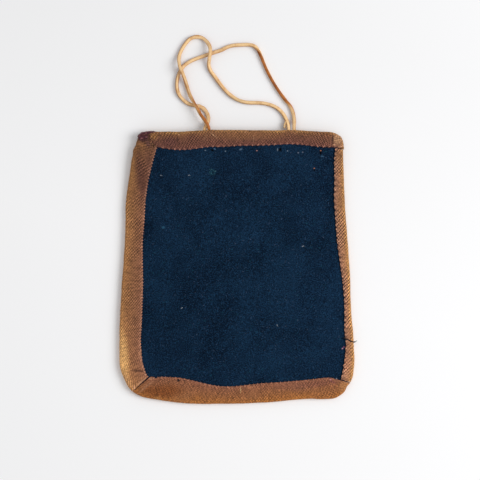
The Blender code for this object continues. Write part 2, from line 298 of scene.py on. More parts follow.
def finishMaterial(material, colour, height, distance, strength=1.0):
    shader = material.node_tree.nodes["Principled BSDF"]
    join(material, colour, shader.inputs["Base Color"])
    relief = addNode(material, "ShaderNodeBump", {"Height": height, "Distance": distance, "Strength": strength})
    join(material, relief.outputs[0], shader.inputs["Normal"])
    return material


# a cloudy colour with flecks, patches and a fine grain; each noise has its scale, detail and roughness
def cloudyFinish(name, surface, cloud, stops, grain, relief, flecks=(), patches=()):
    made = newMaterial(name, *surface)
    place = objectPlace(made)
    colour = rampOf(made, noiseOf(made, place, *cloud), stops)
    for pattern, low, high, most, shade in flecks:
        share = spread(made, noiseOf(made, place, *pattern), low, high, 0, most)
        colour = blendOf(made, share, colour, tone(*shade))
    colour = painted(made, place, colour, patches)
    return finishMaterial(made, colour, noiseOf(made, place, *grain), *relief)


# thongs: two narrow hide strips that twist as they lie; millimetres and degrees
thongs = {
    "width": 3.7, "thickness": 3.0, "roundness": 0.55, "sides": 16, "step": 1.3,
    "rest": 2.1, "seat": 0.05, "lying": (2.3, 5),  # height of the middle line on the table, and where it lifts off
    "sway": 14, "unevenWidth": 0.09, "unevenThickness": 0.12, "grainNarrower": 0.16, "crinkled": 0.36,
    "flap": [(55.2, 156.6, 4.4), (53.6, 155.0, 4.2), (52.4, 152.6, 4.0), (52.1, 150.2, 4.2), (53.4, 148.2, 4.6)],
    "flapRadius": 1.15, "flapSteps": 14, "flapSides": 8, "flapFlatness": 0.5, "fleshSide": 0.22,
    "stains": [
        ((-0.4, 178.5), (15, 5), 0, (204, 172, 126), 0.55), ((-61.4, 197), (1.2, 13), 0, (156, 92, 42), 0.85),
        ((-54.2, 195.7), (1.1, 19), 19.6, (164, 100, 48), 0.8), ((-44.5, 176), (1.3, 9), 30, (160, 96, 46), 0.7),
        ((-16, 196), (1.0, 14), 37, (188, 124, 66), 0.6)],
    "strips": {
        "thong_strip_a": {
            "node": "thong_a", "length": 0.309, "seed": 3.1,
            "twist": [(0, 155), (0.1, 150), (0.146, 90), (0.2, 15), (0.42, -22), (0.6, 25), (0.8, 12), (1, 20)],
            "route": [
                (-28.9, 132.0, 6.35), (-28.9, 139.0, 6.35), (-28.8, 144.3, 6.8), (-29.0, 148.1, 7.9),
                (-30.5, 152.2, 8.7), (-34.1, 157.9, 8.0), (-38.2, 163.8, 6.8), (-43.3, 173.1, 6.5),
                (-48.5, 182.3, 4.3), (-51.6, 190.5, 2.4), (-54.0, 198.7, 3.4), (-57.1, 207.5, 6.3),
                (-59.2, 212.3, 6.7), (-60.9, 219.2, 5.4), (-60.7, 226.2, 2.9), (-58.1, 232.9, 2.1),
                (-54.0, 239.4, 2.1), (-48.8, 244.7, 2.1), (-42.3, 246.7, 2.1), (-36.2, 245.6, 2.2),
                (-31.0, 241.2, 3.4), (-27.8, 235.3, 5.7), (-27.5, 229.2, 6.8), (-28.5, 222.7, 5.4),
                (-29.0, 216.0, 2.9), (-27.0, 209.9, 2.1), (-21.8, 202.8, 2.1), (-15.7, 194.5, 2.1),
                (-9.5, 187.4, 2.1), (-3.4, 182.3, 2.1), (3.7, 178.4, 2.1), (12.9, 176.2, 2.1),
                (26.2, 175.8, 2.1), (36.5, 173.9, 2.1), (44.7, 170.0, 2.1), (50.8, 163.8, 2.1),
                (54.6, 156.6, 3.0), (56.0, 150.8, 5.0), (56.3, 145.4, 6.35), (56.3, 132.6, 6.35),
            ],
        },
        "thong_strip_b": {
            "node": "thong_b", "length": 0.302, "seed": 8.4,
            "crinkle": (0.03, 0.17),
            "twist": [(0, 40), (0.1, 10), (0.3, -20), (0.5, 15), (0.61, 10), (0.66, 165), (0.8, 175), (0.885, 340),
                      (1, 350)],
            "route": [
                (-33.6, 132.0, 6.35), (-33.6, 139.0, 6.35), (-33.7, 144.3, 6.4), (-33.2, 148.1, 5.4),
                (-31.5, 151.8, 3.7), (-29.9, 156.1, 2.5), (-29.9, 161.5, 2.1), (-32.5, 167.3, 2.1),
                (-37.2, 171.3, 2.1), (-43.3, 173.0, 2.1), (-50.5, 174.8, 2.1), (-56.6, 179.2, 2.1),
                (-61.2, 185.3, 2.1), (-63.3, 193.6, 2.1), (-62.6, 202.1, 2.1), (-59.9, 209.6, 2.1),
                (-55.2, 216.0, 2.1), (-47.4, 221.2, 2.1), (-38.2, 224.8, 2.1), (-24.9, 229.4, 2.1),
                (-15.7, 232.4, 2.1), (-9.0, 235.7, 2.1), (-2.4, 237.5, 2.1), (5.8, 238.1, 2.1),
                (12.6, 238.3, 2.1), (18.8, 237.2, 2.1), (23.6, 232.8, 2.1), (27.4, 224.9, 2.1),
                (32.4, 212.6, 2.1), (38.5, 200.7, 2.1), (44.7, 190.5, 2.1), (51.9, 180.3, 2.1),
                (58.0, 172.6, 2.1), (61.4, 164.9, 2.1), (62.5, 157.2, 3.0), (62.3, 150.8, 5.0),
                (62.2, 145.4, 6.35), (62.2, 132.6, 6.35),
            ],
        },
    },
}


# the thong's own finish: pale flesh side with a painted highlight along its middle, cut edges with painted shade,
# orange-brown grain on the lower face
def hideStripMaterial():
    made = newMaterial("hide_strip", 0.62, 0.28, 0.15, (255, 225, 180), 0.5)
    place = objectPlace(made)
    uv = addNode(made, "ShaderNodeUVMap", uv_map="strip").outputs[0]
    around = addNode(made, "ShaderNodeSeparateXYZ", {0: uv}).outputs["Y"]
    blotch = noiseOf(made, place, 170, 3)
    fibre = noiseOf(made, uv, 60, 4, 0.6, (3, 1.3, 1))
    flesh = rampOf(made, fibre, [(0.25, (192, 142, 88)), (0.75, (236, 198, 150)), (0.5, (220, 175, 121))])
    offCentre = sums(made, "ABSOLUTE", sums(made, "SUBTRACT", around, 0.25))
    # painted highlight along the middle of the flesh side, painted shade towards the cut edges
    flesh = blendOf(made, spread(made, offCentre, 0.14, 0.03, 0, 0.75), flesh, tone(249, 212, 160))
    flesh = blendOf(made, spread(made, offCentre, 0.14, 0.25, 0, 0.6), flesh, tone(190, 134, 80))
    flesh = blendOf(made, spread(made, blotch, 0.5, 0.7, 0, 0.55), flesh, tone(192, 136, 78))
    flesh = painted(made, place, flesh, thongs["stains"])
    grain = rampOf(made, blotch, [(0.3, (140, 74, 24)), (0.7, (190, 116, 52))])
    sway = sums(made, "MULTIPLY_ADD", sums(made, "SUBTRACT", blotch, 0.5), 0.08, around)
    onGrain = sums(made, "MULTIPLY", spread(made, sway, 0.44, 0.49), spread(made, sway, 0.97, 0.93))
    crinkle = noiseOf(made, uv, 900, 2, 0.5, (1, 0.004, 1))
    height = sums(made, "MULTIPLY_ADD", crinkle, 0.5, fibre)
    return finishMaterial(made, blendOf(made, onGrain, flesh, grain), height, 0.0004, 0.8)


def hideStrip(name, facts):
    count = round(facts["length"] / (thongs["step"] * mm))
    line = evenLine(inMetres(facts["route"]), count)
    walked = walkedAlong(line)
    sides, seed = thongs["sides"], facts["seed"]
    verts = []
    for i, p in enumerate(line):
        along = (line[min(i + 1, count)] - line[max(i - 1, 0)]).normalized()
        side, up = crossAxes(along)
        turn = math.radians(readOff(facts["twist"], i / count) + thongs["sway"] * uneven(i * 0.09, seed, 0))
        grainUp = smoothStep(-math.cos(turn), 0.2, 0.9)
        halfWide = thongs["width"] / 2 * mm * (1 - thongs["grainNarrower"] * grainUp)
        halfWide *= 1 + thongs["unevenWidth"] * uneven(i * 0.16, 0, seed)
        if "crinkle" in facts and facts["crinkle"][0] < i / count < facts["crinkle"][1]:
            halfWide *= 1 + thongs["crinkled"] * uneven(i * 0.83, 5, seed)
        halfThick = thongs["thickness"] / 2 * mm * (1 + thongs["unevenThickness"] * uneven(0, i * 0.2, seed))
        support = abs(math.cos(turn)) * halfThick + abs(math.sin(turn)) * halfWide + thongs["seat"] * mm
        lying = 1 - smoothStep(p.z, thongs["lying"][0] * mm, thongs["lying"][1] * mm)
        middle = p - Vector((0, 0, max(thongs["rest"] * mm - support, 0) * lying))
        for j in range(sides):
            a = 2 * math.pi * (j + 0.5) / sides
            wide = math.copysign(abs(math.cos(a)) ** thongs["roundness"], math.cos(a)) * halfWide
            thick = math.copysign(abs(math.sin(a)) ** thongs["roundness"], math.sin(a)) * halfThick
            verts.append(middle + side * (wide * math.cos(turn) - thick * math.sin(turn))
                         + up * (wide * math.sin(turn) + thick * math.cos(turn)))
    piece = plainMesh(name, verts, tubeFaces(count + 1, sides))
    layer = piece.data.uv_layers.new(name="strip")
    for face in piece.data.polygons:
        wraps = {loop: piece.data.loops[loop].vertex_index for loop in face.loop_indices}
        seam = {v % sides for v in wraps.values()} == {0, sides - 1}
        for loop, vert in wraps.items():
            around = vert % sides + (sides if seam and vert % sides == 0 else 0)
            layer.data[loop].uv = (walked[vert // sides], (around + 0.5) / sides)
    dress(piece, hideFinish, node=facts["node"])


# a torn sliver of hide that stands off the thong at its right foot
def thongFlap():
    steps, sides = thongs["flapSteps"], thongs["flapSides"]
    line = evenLine(inMetres(thongs["flap"]), steps)
    verts = threadTube(line, thongs["flapRadius"] * mm, sides, 0.2)
    for k, vert in enumerate(verts):
        centre = line[k // sides]
        lean = vert - centre
        lean.z *= thongs["flapFlatness"]
        verts[k] = centre + lean * (1 + 0.5 * noise.noise(vert * 900))
    piece = plainMesh("thong_flap", verts, tubeFaces(steps + 1, sides))
    layer = piece.data.uv_layers.new(name="strip")
    for loop in piece.data.loops:
        # the sliver takes the flesh colour near the middle of the face, where the painted highlight lies
        layer.data[loop.index].uv = (loop.vertex_index // sides * mm, thongs["fleshSide"])
    dress(piece, hideFinish)


hideFinish = hideStripMaterial()
for stripName, stripFacts in thongs["strips"].items():
    hideStrip(stripName, stripFacts)
thongFlap()
print("thongs laid")


# the form that all the cloth follows, the same as in the solids, in metres
form = {
    "height": 0.286, "base": 0.253, "mouth": 0.223, "skew": 0.0033, "bulge": 0.0039, "sag": 0.0061, "sagLean": 0.72,
    "middleY": 0.13995, "hideTop": 0.0028, "woolThick": 0.0013, "clear": 0.0003, "bindThick": 0.0009,
    "puff": 0.0065, "lipPuff": 0.0048, "rise": 0.090, "lip": 0.020, "lipFade": 0.060, "underFace": 0.0006,
}
cover = form["clear"] + form["bindThick"]


# 0 at both ends of a span, 1 at its middle
def bow(share, power=4):
    return 1 - abs(2 * share - 1) ** power


def leftX(y):
    share = min(max(y / form["height"], 0), 1)
    narrowing = (form["base"] - form["mouth"]) / 2 + form["skew"]
    return -form["base"] / 2 + share * narrowing - form["bulge"] * bow(share, 3)


def rightX(y):
    share = min(max(y / form["height"], 0), 1)
    narrowing = (form["base"] - form["mouth"]) / 2 - form["skew"]
    return form["base"] / 2 - share * narrowing


def woolBottom(x, y):
    y += form["middleY"]
    middle = (leftX(y) + rightX(y)) / 2
    half = (rightX(y) - leftX(y)) / 2
    across = bow(min(max((x - middle) / half, -1), 1) / 2 + 0.5)
    share = min(max(0.5 + x / form["base"], 0), 1)
    low = -form["sag"] * math.sin(math.pi * share ** form["sagLean"]) ** 2
    up = bow(min(max((y - low) / form["rise"], 0), 1) / 2)
    lip = smoothStep(y, form["height"] - form["lip"] - form["lipFade"], form["height"] - form["lip"])
    puff = (form["puff"] + (form["lipPuff"] - form["puff"]) * lip) * across * up
    return form["hideTop"] + form["clear"] + puff + 2 * cover * lip


def woolTop(x, y):
    return woolBottom(x, y) + form["woolThick"]


heights = {
    "overWool": lambda x, y: woolTop(x, y) + cover,
    "underWool": lambda x, y: woolBottom(x, y) - cover,
    "overHide": lambda x, y: form["hideTop"] + cover,
    "underHide": lambda x, y: form["underFace"],
}

# bindings: bias strips of ribbed cloth, folded over the edges; millimetres, with the edges clockwise
bindings = {
    "roll": 2.6, "rollFlat": 4, "step": 0.62, "rollFaces": 12, "overFaces": 18, "underFaces": 7,
    "innerSteps": 1200, "gapSteps": 10, "seamBow": 9, "endFade": 2.5, "endSink": 0.18, "lowest": 0.2,
    "hemWidth": 4.2, "hemRise": 0.28, "hemReach": 2.6, "edgeThin": 0.4, "edgeReach": 1.5,
    "dip": 0.44, "scallop": 0.28, "ripple": 0.16, "swell": 0.22, "rollRipple": 0.25,
    "lift": 0.12, "leastLift": -0.25, "underShare": 0.4,
    "left_strip": {
        "node": "left_binding", "faces": ("underHide", "overWool"), "reaches": (1, 1),
        "gaps": ((0.05, 0.5), (0.1, 0.15)),
        "lean": -1, "stitchGap": 3.2, "sewn": 0.7, "bows": ((0, 0), (-3.4, -1.2)),
        "outer": [
            (-111.0, -133.5), (-113.5, -130.9), (-115.9, -127.4), (-118.7, -122.1), (-120.8, -117.5),
            (-122.7, -112.5),
            (-124.2, -107.1), (-124.7, -99.6), (-124.7, -88.9), (-124.8, -78.2), (-124.4, -56.8), (-123.2, -35.4),
            (-122.0, -14.0), (-120.2, 7.4),
            (-119.0, 28.8), (-118.3, 50.2), (-118.4, 60.9), (-117.7, 71.6), (-116.5, 82.3), (-114.8, 93.0),
            (-113.3, 103.7), (-111.7, 114.4), (-110.5, 119.7), (-110.1, 125.1), (-108.8, 128.0), (-107.3, 130.4),
            (-106.7, 133.4), (-105.3, 136.8), (-103.9, 140.1), (-101.0, 143.3), (-97.2, 144.9), (-92.7, 145.2)],
        "inner": [
            (-93.0, -117.3), (-95.3, -115.2), (-97.4, -110.3), (-100.3, -99.6), (-101.1, -88.9), (-101.7, -78.2),
            (-100.6, -56.8), (-99.8, -35.4), (-99.3, -14.0), (-99.7, 7.4), (-99.6, 28.8), (-97.8, 50.2),
            (-97.3, 60.9), (-96.6, 71.6), (-95.1, 82.3), (-93.4, 93.0), (-90.8, 103.7), (-88.3, 114.4),
            (-86.7, 119.7), (-85.1, 125.1), (-84.1, 127.8)],
        "creases": [
            (-112, -109.8, -98, -111.6, 1.5, 0.6), (-112, -114.0, -99, -115.0, 1.8, -0.30),
            (-108, -130, -94, -118, 1.2, -0.25), (-109, 134, -92, 137, 1.2, 0.35), (-99, 141, -93, 130, 1.5, -0.35),
            (-115, 129.5, -100, 127, 1.0, 0.2)],
    },
    "mouth_strip_back": {
        "node": "back_mouth_binding", "faces": ("underWool", "overWool"), "reaches": (0.85, 1),
        "gaps": ((0.1, 0.15), (0.02, 0.1)),
        "lean": 1, "stitchGap": 5.96, "sewn": 0.8, "bows": ((-3.4, -1.2), (0, 0)),
        "outer": [
            (-92.3, 145.1), (-87.0, 144.7), (-81.2, 144.4), (-70.5, 144.6), (-59.8, 144.3), (-49.1, 145.1),
            (-38.4, 145.6),
            (-27.7, 146.4), (-17.0, 146.3), (4.4, 146.2), (25.8, 145.9), (47.2, 145.9), (57.9, 146.3),
            (68.6, 145.8), (79.3, 145.2), (90.0, 144.7), (100.7, 144.2), (106.0, 143.0), (111.4, 140.2),
            (113.8, 136.9), (114.9, 132.6), (115.5, 125.8)],
        "inner": [
            (-83.7, 128.0), (-81.2, 127.4), (-70.5, 125.7), (-59.8, 124.9), (-49.1, 125.4), (-38.4, 126.8),
            (-27.7, 128.2), (-17.0, 128.1), (-6.3, 128.7), (4.4, 129.4), (15.1, 129.5), (25.8, 129.6),
            (36.5, 130.0), (47.2, 130.6), (57.9, 131.1), (68.6, 130.6), (79.3, 129.4), (90.0, 128.2),
            (98.5, 127.9), (106.4, 128.0)],
        "creases": [
            (103.2, 144, 103.0, 130, 0.7, 0.75), (108, 141, 107, 130, 2.2, -0.35), (-29, 146, -24, 128, 2.0, -0.18),
            (-28, 141, -19, 136, 0.6, -0.25), (-88, 140, -84, 130, 1.0, -0.35), (-76, 143, -74, 128, 1.3, 0.2),
            (-66, 142, -64, 127, 1.1, 0.2), (72, 140, 74, 138, 1.2, 0.4)],
    },
    "mouth_strip_front": {
        "node": "front_mouth_binding", "faces": ("underHide", "overHide"), "reaches": (1, 0.85),
        "gaps": ((0.1, 0.15), (0.02, 0.1)),
        "lean": 1, "stitchGap": 5.96, "sewn": 0.9, "bows": ((0, 0), (0, 0)), "like": "mouth_strip_back",
        "creases": [],
    },
    "right_strip": {
        "node": "right_binding", "faces": ("underHide", "overWool"), "reaches": (1, 1),
        "gaps": ((0.02, 0.1), (0.02, 0.14)),
        "lean": -1, "stitchGap": 6.3, "sewn": 1, "bows": ((0, 0), (0, 0)),
        "outer": [
            (114.8, 125.2), (114.9, 119.7), (115.1, 114.4), (115.3, 103.7), (115.8, 93.0), (116.2, 82.3),
            (116.8, 71.6), (117.2, 60.9), (118.0, 50.2), (119.7, 28.8), (121.3, 7.4), (122.5, -14.0),
            (123.0, -35.4), (124.1, -56.8), (125.4, -67.5), (126.2, -77.1), (126.6, -88.9), (127.1, -100.7),
            (126.2, -110.3), (125.2, -117.8), (123.1, -123.4)],
        "inner": [
            (106.9, 127.2), (106.1, 124.5), (105.6, 119.7), (105.1, 114.4), (105.2, 103.7), (105.5, 93.0),
            (105.2, 82.3), (105.1, 71.6), (105.8, 60.9), (106.5, 50.2), (108.2, 28.8), (111.0, 7.4),
            (114.0, -14.0), (116.0, -35.4), (116.3, -56.8), (116.3, -67.5), (117.3, -76.1), (117.8, -84.2),
            (116.7, -96.4), (115.3, -106.0), (113.5, -115.7), (112.2, -120.5)],
        "creases": [(110, -119, 121, -122.5, 1.0, 0.3)],
    },
    "base_strip": {
        "node": "bottom_binding", "faces": ("underHide", "overWool"), "reaches": (1, 1),
        "gaps": ((0.02, 0.14), (0.05, 0.5)),
        "lean": 1, "stitchGap": 4.7, "sewn": 0.35, "bows": ((0, 0), (0, 0)),
        "outer": [
            (122.6, -124.2), (119.4, -128.0), (116.5, -133.6), (112.2, -137.2), (104.8, -141.1), (92.4, -141.8),
            (79.3, -141.5), (68.6, -142.0), (57.9, -142.9), (47.2, -144.1), (36.5, -145.0),
            (25.8, -145.6), (15.1, -146.1), (4.4, -146.6), (-6.3, -146.7), (-17.0, -146.8), (-27.7, -146.8),
            (-38.4, -146.9), (-49.1, -146.6), (-59.8, -145.7), (-70.5, -144.5), (-81.2, -142.8), (-91.9, -141.2),
            (-100.5, -139.2), (-106.9, -136.2), (-110.8, -133.7)],
        "inner": [
            (111.8, -121.3), (106.0, -119.9), (100.7, -118.4), (90.0, -119.0), (79.3, -120.3), (68.6, -121.4),
            (57.9, -122.3), (47.2, -123.2), (36.5, -123.8), (25.8, -124.5), (15.1, -125.7), (4.4, -127.0),
            (-6.3, -127.7), (-17.0, -127.4), (-27.7, -125.7), (-38.4, -123.2), (-49.1, -120.6), (-59.8, -118.4),
            (-70.5, -117.7), (-81.2, -117.4), (-86.0, -118.7), (-89.2, -117.4), (-92.3, -117.7)],
        "creases": [
            (99.6, -121, 107.2, -124.3, 0.8, 0.45), (109, -122, 119, -124, 1.2, -0.25),
            (-106, -132, -92, -119.5, 1.3, -0.3), (-62.5, -122.2, -59.5, -122.2, 1.0, 0.6),
            (-100, -136, -84, -141, 1.6, -0.2)],
    },
}


def stripEdges(facts):
    source = bindings[facts["like"]] if "like" in facts else facts
    outer, inner = inMetres(source["outer"]), inMetres(source["inner"])
    count = round(walkedAlong(outer)[-1] / (bindings["step"] * mm))
    outerLine = evenLine(outer, count)
    innerFine = evenLine(inner, bindings["innerSteps"], 20)
    axis = (inner[-1] - inner[0]).normalized()
    walked = [0.0]
    for a, b in zip(outerLine, outerLine[1:]):
        walked.append(walked[-1] + abs((b - a).dot(axis)) + 0.05 * (b - a).length)
    innerLine = [innerFine[round(w / walked[-1] * bindings["innerSteps"])] for w in walked]
    fade = bindings["gapSteps"]
    for line, startGap, endGap in zip((outerLine, innerLine), *facts["gaps"]):  # the seams open towards the wool
        startPush = (line[4] - line[0]).normalized() * startGap * mm
        endPush = (line[-5] - line[-1]).normalized() * endGap * mm
        for i in range(fade):
            line[i] = line[i] + startPush * (1 - i / fade)
            line[-1 - i] = line[-1 - i] + endPush * (1 - i / fade)
    return outerLine, innerLine


# how far into the strip each line of its section lies, from its under hem round the roll to its upper hem
def stripSection(reaches):
    under, over, turns = bindings["underFaces"], bindings["overFaces"], bindings["rollFaces"]
    section = [(reaches[0] * (1 - i / under), -1, None) for i in range(under)]
    section += [(0, 0, math.pi * (i / turns - 0.5)) for i in range(turns + 1)]
    return section + [(reaches[1] * math.sin(math.pi / 2 * i / over), 1, None) for i in range(1, over + 1)]


def creaseDepth(point, creases):
    depth = 0.0
    for x1, y1, x2, y2, width, deep in creases:
        start, end = Vector((x1, y1)) * mm, Vector((x2, y2)) * mm
        share = min(max((point - start).dot(end - start) / (end - start).length_squared, 0), 1)
        gap = (point - start.lerp(end, share)).length / (width * mm)
        if gap < 3:
            fade = min(1, 1.2 - abs(2 * share - 1) ** 3)
            depth += deep * mm * math.exp(-gap * gap) * fade
    return depth


# 1 where a stitch lifts the hem, -1 in the dip between two of them, with uneven steps; the cloth gets painted shade
# in these dips
def stitchWave(place, gap, seed):
    drift = 0.55 * uneven(place * 45, seed, 3.3)
    wave = math.cos(2 * math.pi * (place / gap + drift))
    return wave * (0.75 + 0.5 * uneven(place * 110, seed, 8.1))


def bindingStrip(name, facts, finish):
    outer, inner = stripEdges(facts)
    section = stripSection(facts["reaches"])
    columns, rows = len(outer), len(section)
    bpy.ops.object.select_all(action="DESELECT")
    bpy.ops.mesh.primitive_grid_add(x_subdivisions=columns - 1, y_subdivisions=rows - 1, size=1)
    piece = bpy.context.object
    piece.name = piece.data.name = name
    seed = seedOf(name)
    outerWalked, innerWalked = walkedAlong(outer), walkedAlong(inner)
    under, over = (heights[face] for face in facts["faces"])
    roll, hem, seam = (bindings[key] * mm for key in ("roll", "hemWidth", "seamBow"))
    startBow, endBow = inMetres(facts["bows"])
    spots, across, thin, bumps = [], [], [], []
    for vert in piece.data.vertices:
        i = round((vert.co.x + 0.5) * (columns - 1))
        j = round((vert.co.y + 0.5) * (rows - 1))
        leg, side, turn = section[j]
        a, b = outer[i], inner[i]
        width = (b - a).length
        root = a.lerp(b, roll / width)
        top, bottom = over(root.x, root.y), under(root.x, root.y)
        arc = math.pi * math.hypot((top - bottom) / 2, roll) / math.sqrt(2)
        u = outerWalked[i]
        left = outerWalked[-1] - u
        endFade = min(1, min(u, left) / (bindings["endFade"] * mm))
        thinness, bump = 1.0, 0.0
        if side:  # one of the two legs
            hemBow = startBow * (1 - smoothStep(u, 0, seam)) + endBow * (1 - smoothStep(left, 0, seam))
            flat = root.lerp(b, leg) + hemBow * math.sin(math.pi * min(leg, 1))
            fromHem, v = (b - flat).length, (flat - a).length
            share = v / width
            wave = stitchWave(innerWalked[i], facts["stitchGap"] * mm, seed) * facts["sewn"]
            bump = wave * (1 - smoothStep(fromHem, 1.0 * mm, 2.4 * mm)) * endFade
            ripple = uneven(u * 190, v * 45, seed) * bindings["ripple"]
            ripple += uneven(u * 60, v * 60, -seed) * bindings["swell"]
            lift = ripple * mm * smoothStep(v, roll, roll + 4 * mm)
            if side > 0:
                nearHem = 1 - smoothStep(fromHem, 0, bindings["hemReach"] * mm)
                flat = flat + (b - a).normalized() * bindings["scallop"] * mm * wave * nearHem
                rise = smoothStep(fromHem, 0, 1.2 * mm) * (1 - smoothStep(fromHem, hem, hem * 1.7))
                lift += bindings["hemRise"] * mm * rise
                lift -= bindings["dip"] * mm * nearHem * (0.5 - 0.5 * wave)
                lift -= creaseDepth(flat, facts["creases"]) + bindings["endSink"] * mm * (1 - endFade)
                z = over(flat.x, flat.y) + max(lift, bindings["leastLift"] * mm) + bindings["lift"] * mm
                full = smoothStep(fromHem, 0, bindings["edgeReach"] * mm)
                thinness = bindings["edgeThin"] + (1 - bindings["edgeThin"]) * full
            else:
                z = under(flat.x, flat.y) - lift * bindings["underShare"]
        else:  # the roll over the edge
            flat = a.lerp(b, roll * (1 - math.cos(turn)) / width)
            ripple = uneven(u * 90, turn, seed) * bindings["rollRipple"] * mm * math.cos(turn)
            flat = flat + (a - b).normalized() * ripple
            z = (top + bottom) / 2 + (top - bottom) / 2 * math.sin(turn) + (bindings["lift"] * mm if turn > 1 else 0)
            v = roll - arc * (0.5 - turn / math.pi)
            share = 0.05 + 0.05 * math.sin(turn)
        spots.append((u * facts["lean"], v if side >= 0 else 2 * roll - arc - v))
        across.append(share)
        thin.append(thinness)
        bumps.append(bump)
        vert.co = (flat.x, flat.y, z)
    layer = piece.data.uv_layers[0]
    layer.name = "cloth"
    for loop in piece.data.loops:
        layer.data[loop.index].uv = spots[loop.vertex_index]
    for key, values in (("across", across), ("bump", bumps)):
        piece.data.attributes.new(key, "FLOAT", "POINT").data.foreach_set("value", values)
    group = piece.vertex_groups.new(name="thickness")
    for index, weight in enumerate(thin):
        group.add([index], weight, "REPLACE")
    selectOnly(piece)
    bpy.ops.object.mode_set(mode="EDIT")
    bpy.ops.mesh.select_all(action="SELECT")
    bpy.ops.mesh.flip_normals()
    bpy.ops.object.mode_set(mode="OBJECT")
    thicken(piece, form["bindThick"], "thickness")
    for vert in piece.data.vertices:
        vert.co.z = max(vert.co.z, bindings["lowest"] * mm)
    dress(piece, finish, 60, facts["node"])
    return inner


# the cloth: bias-cut, with two sets of slanting ribs, golden at the outer edge, partly from wear and partly as a
# painted highlight on the rounded roll
def bindingMaterial(name, look):
    made = newMaterial(name, 0.86, 0.2, 0.25, (230, 190, 150), 0.5)
    place = objectPlace(made)
    grid = addNode(made, "ShaderNodeSeparateXYZ", {0: place}).outputs
    uv = addNode(made, "ShaderNodeUVMap", uv_map="cloth").outputs[0]
    parts = addNode(made, "ShaderNodeSeparateXYZ", {0: uv}).outputs
    across = addNode(made, "ShaderNodeAttribute", attribute_name="across").outputs["Fac"]
    bump = addNode(made, "ShaderNodeAttribute", attribute_name="bump").outputs["Fac"]
    blotch = noiseOf(made, place, 55, 3)
    drift = sums(made, "SUBTRACT", blotch, 0.5)
    fleck = noiseOf(made, place, 780, 2, 0.7)
    streak = noiseOf(made, uv, look["streaks"], 2, 0.6, (1.6, 0.3, 1))

    sway = sums(made, "MULTIPLY", drift, spread(made, across, 0.06, 0.3, 0.05, 0.6))
    # the colour across the strip; its golden outer stops are partly wear and partly a painted highlight on the roll
    colour = rampOf(made, sums(made, "ADD", sway, across), look["across"])
    colour = blendOf(made, spread(made, blotch, 0.52, 0.72, 0, look["wear"]), colour, tone(*look["worn"]))
    colour = painted(made, place, colour, look["patches"])
    # painted shade in the dips between stitches, then a paler colour where each stitch lifts the hem
    colour = blendOf(made, spread(made, bump, -0.1, -0.7, 0, 0.75), colour, tone(62, 34, 32))
    colour = blendOf(made, spread(made, bump, 0.25, 0.85, 0, 0.8), colour, tone(*look["hem"]))

    ribsAcross, ribsAlong, risingShare, fallingShare = look["ribs"]
    warp = sums(made, "MULTIPLY", drift, 9.0)
    crossways = sums(made, "MULTIPLY", parts["Y"], ribsAcross * 2 * math.pi)
    lengthways = sums(made, "MULTIPLY_ADD", parts["X"], ribsAlong * 2 * math.pi, warp)
    rising = sums(made, "SINE", sums(made, "ADD", crossways, lengthways))
    falling = sums(made, "SINE", sums(made, "SUBTRACT", crossways, lengthways))
    falling = sums(made, "MULTIPLY", falling, spread(made, grid["Y"], -0.1, 0.03, look["fallingBelow"]))
    clear = spread(made, noiseOf(made, place, 75, 2, 0.5, (1, 1, 1), 0.6), 0.38, 0.62, 0.25, 1.0)
    for middle, reach, share in look["ribPlaces"]:
        clear = sums(made, "MULTIPLY_ADD", patchOf(made, place, middle, reach), share, clear)
    ribs = sums(made, "MULTIPLY_ADD", falling, fallingShare, sums(made, "MULTIPLY", rising, risingShare))
    ribs = sums(made, "MULTIPLY", ribs, spread(made, clear, 0, 1.2, 0, 1.2))

    # the ribs are painted lighter on their crests and darker in their valleys, as painted highlight and shade besides
    # their bump
    light = sums(made, "MULTIPLY_ADD", ribs, look["paintedRibShade"], 1.0)
    light = sums(made, "MULTIPLY", light, spread(made, fleck, 0.25, 0.75, 1 - look["fleck"], 1 + look["fleck"]))
    light = sums(made, "MULTIPLY", light, spread(made, streak, 0.3, 0.7, 0.72, 1.28))
    for axis, low, high, least, most in look["levels"]:
        light = sums(made, "MULTIPLY", light, spread(made, grid[axis], low * mm, high * mm, least, most))
    shaded = addNode(made, "ShaderNodeVectorMath", {0: colour, "Scale": light}, operation="SCALE")
    return finishMaterial(made, shaded.outputs[0], sums(made, "MULTIPLY_ADD", fleck, 0.6, ribs), 0.00022, 0.9)
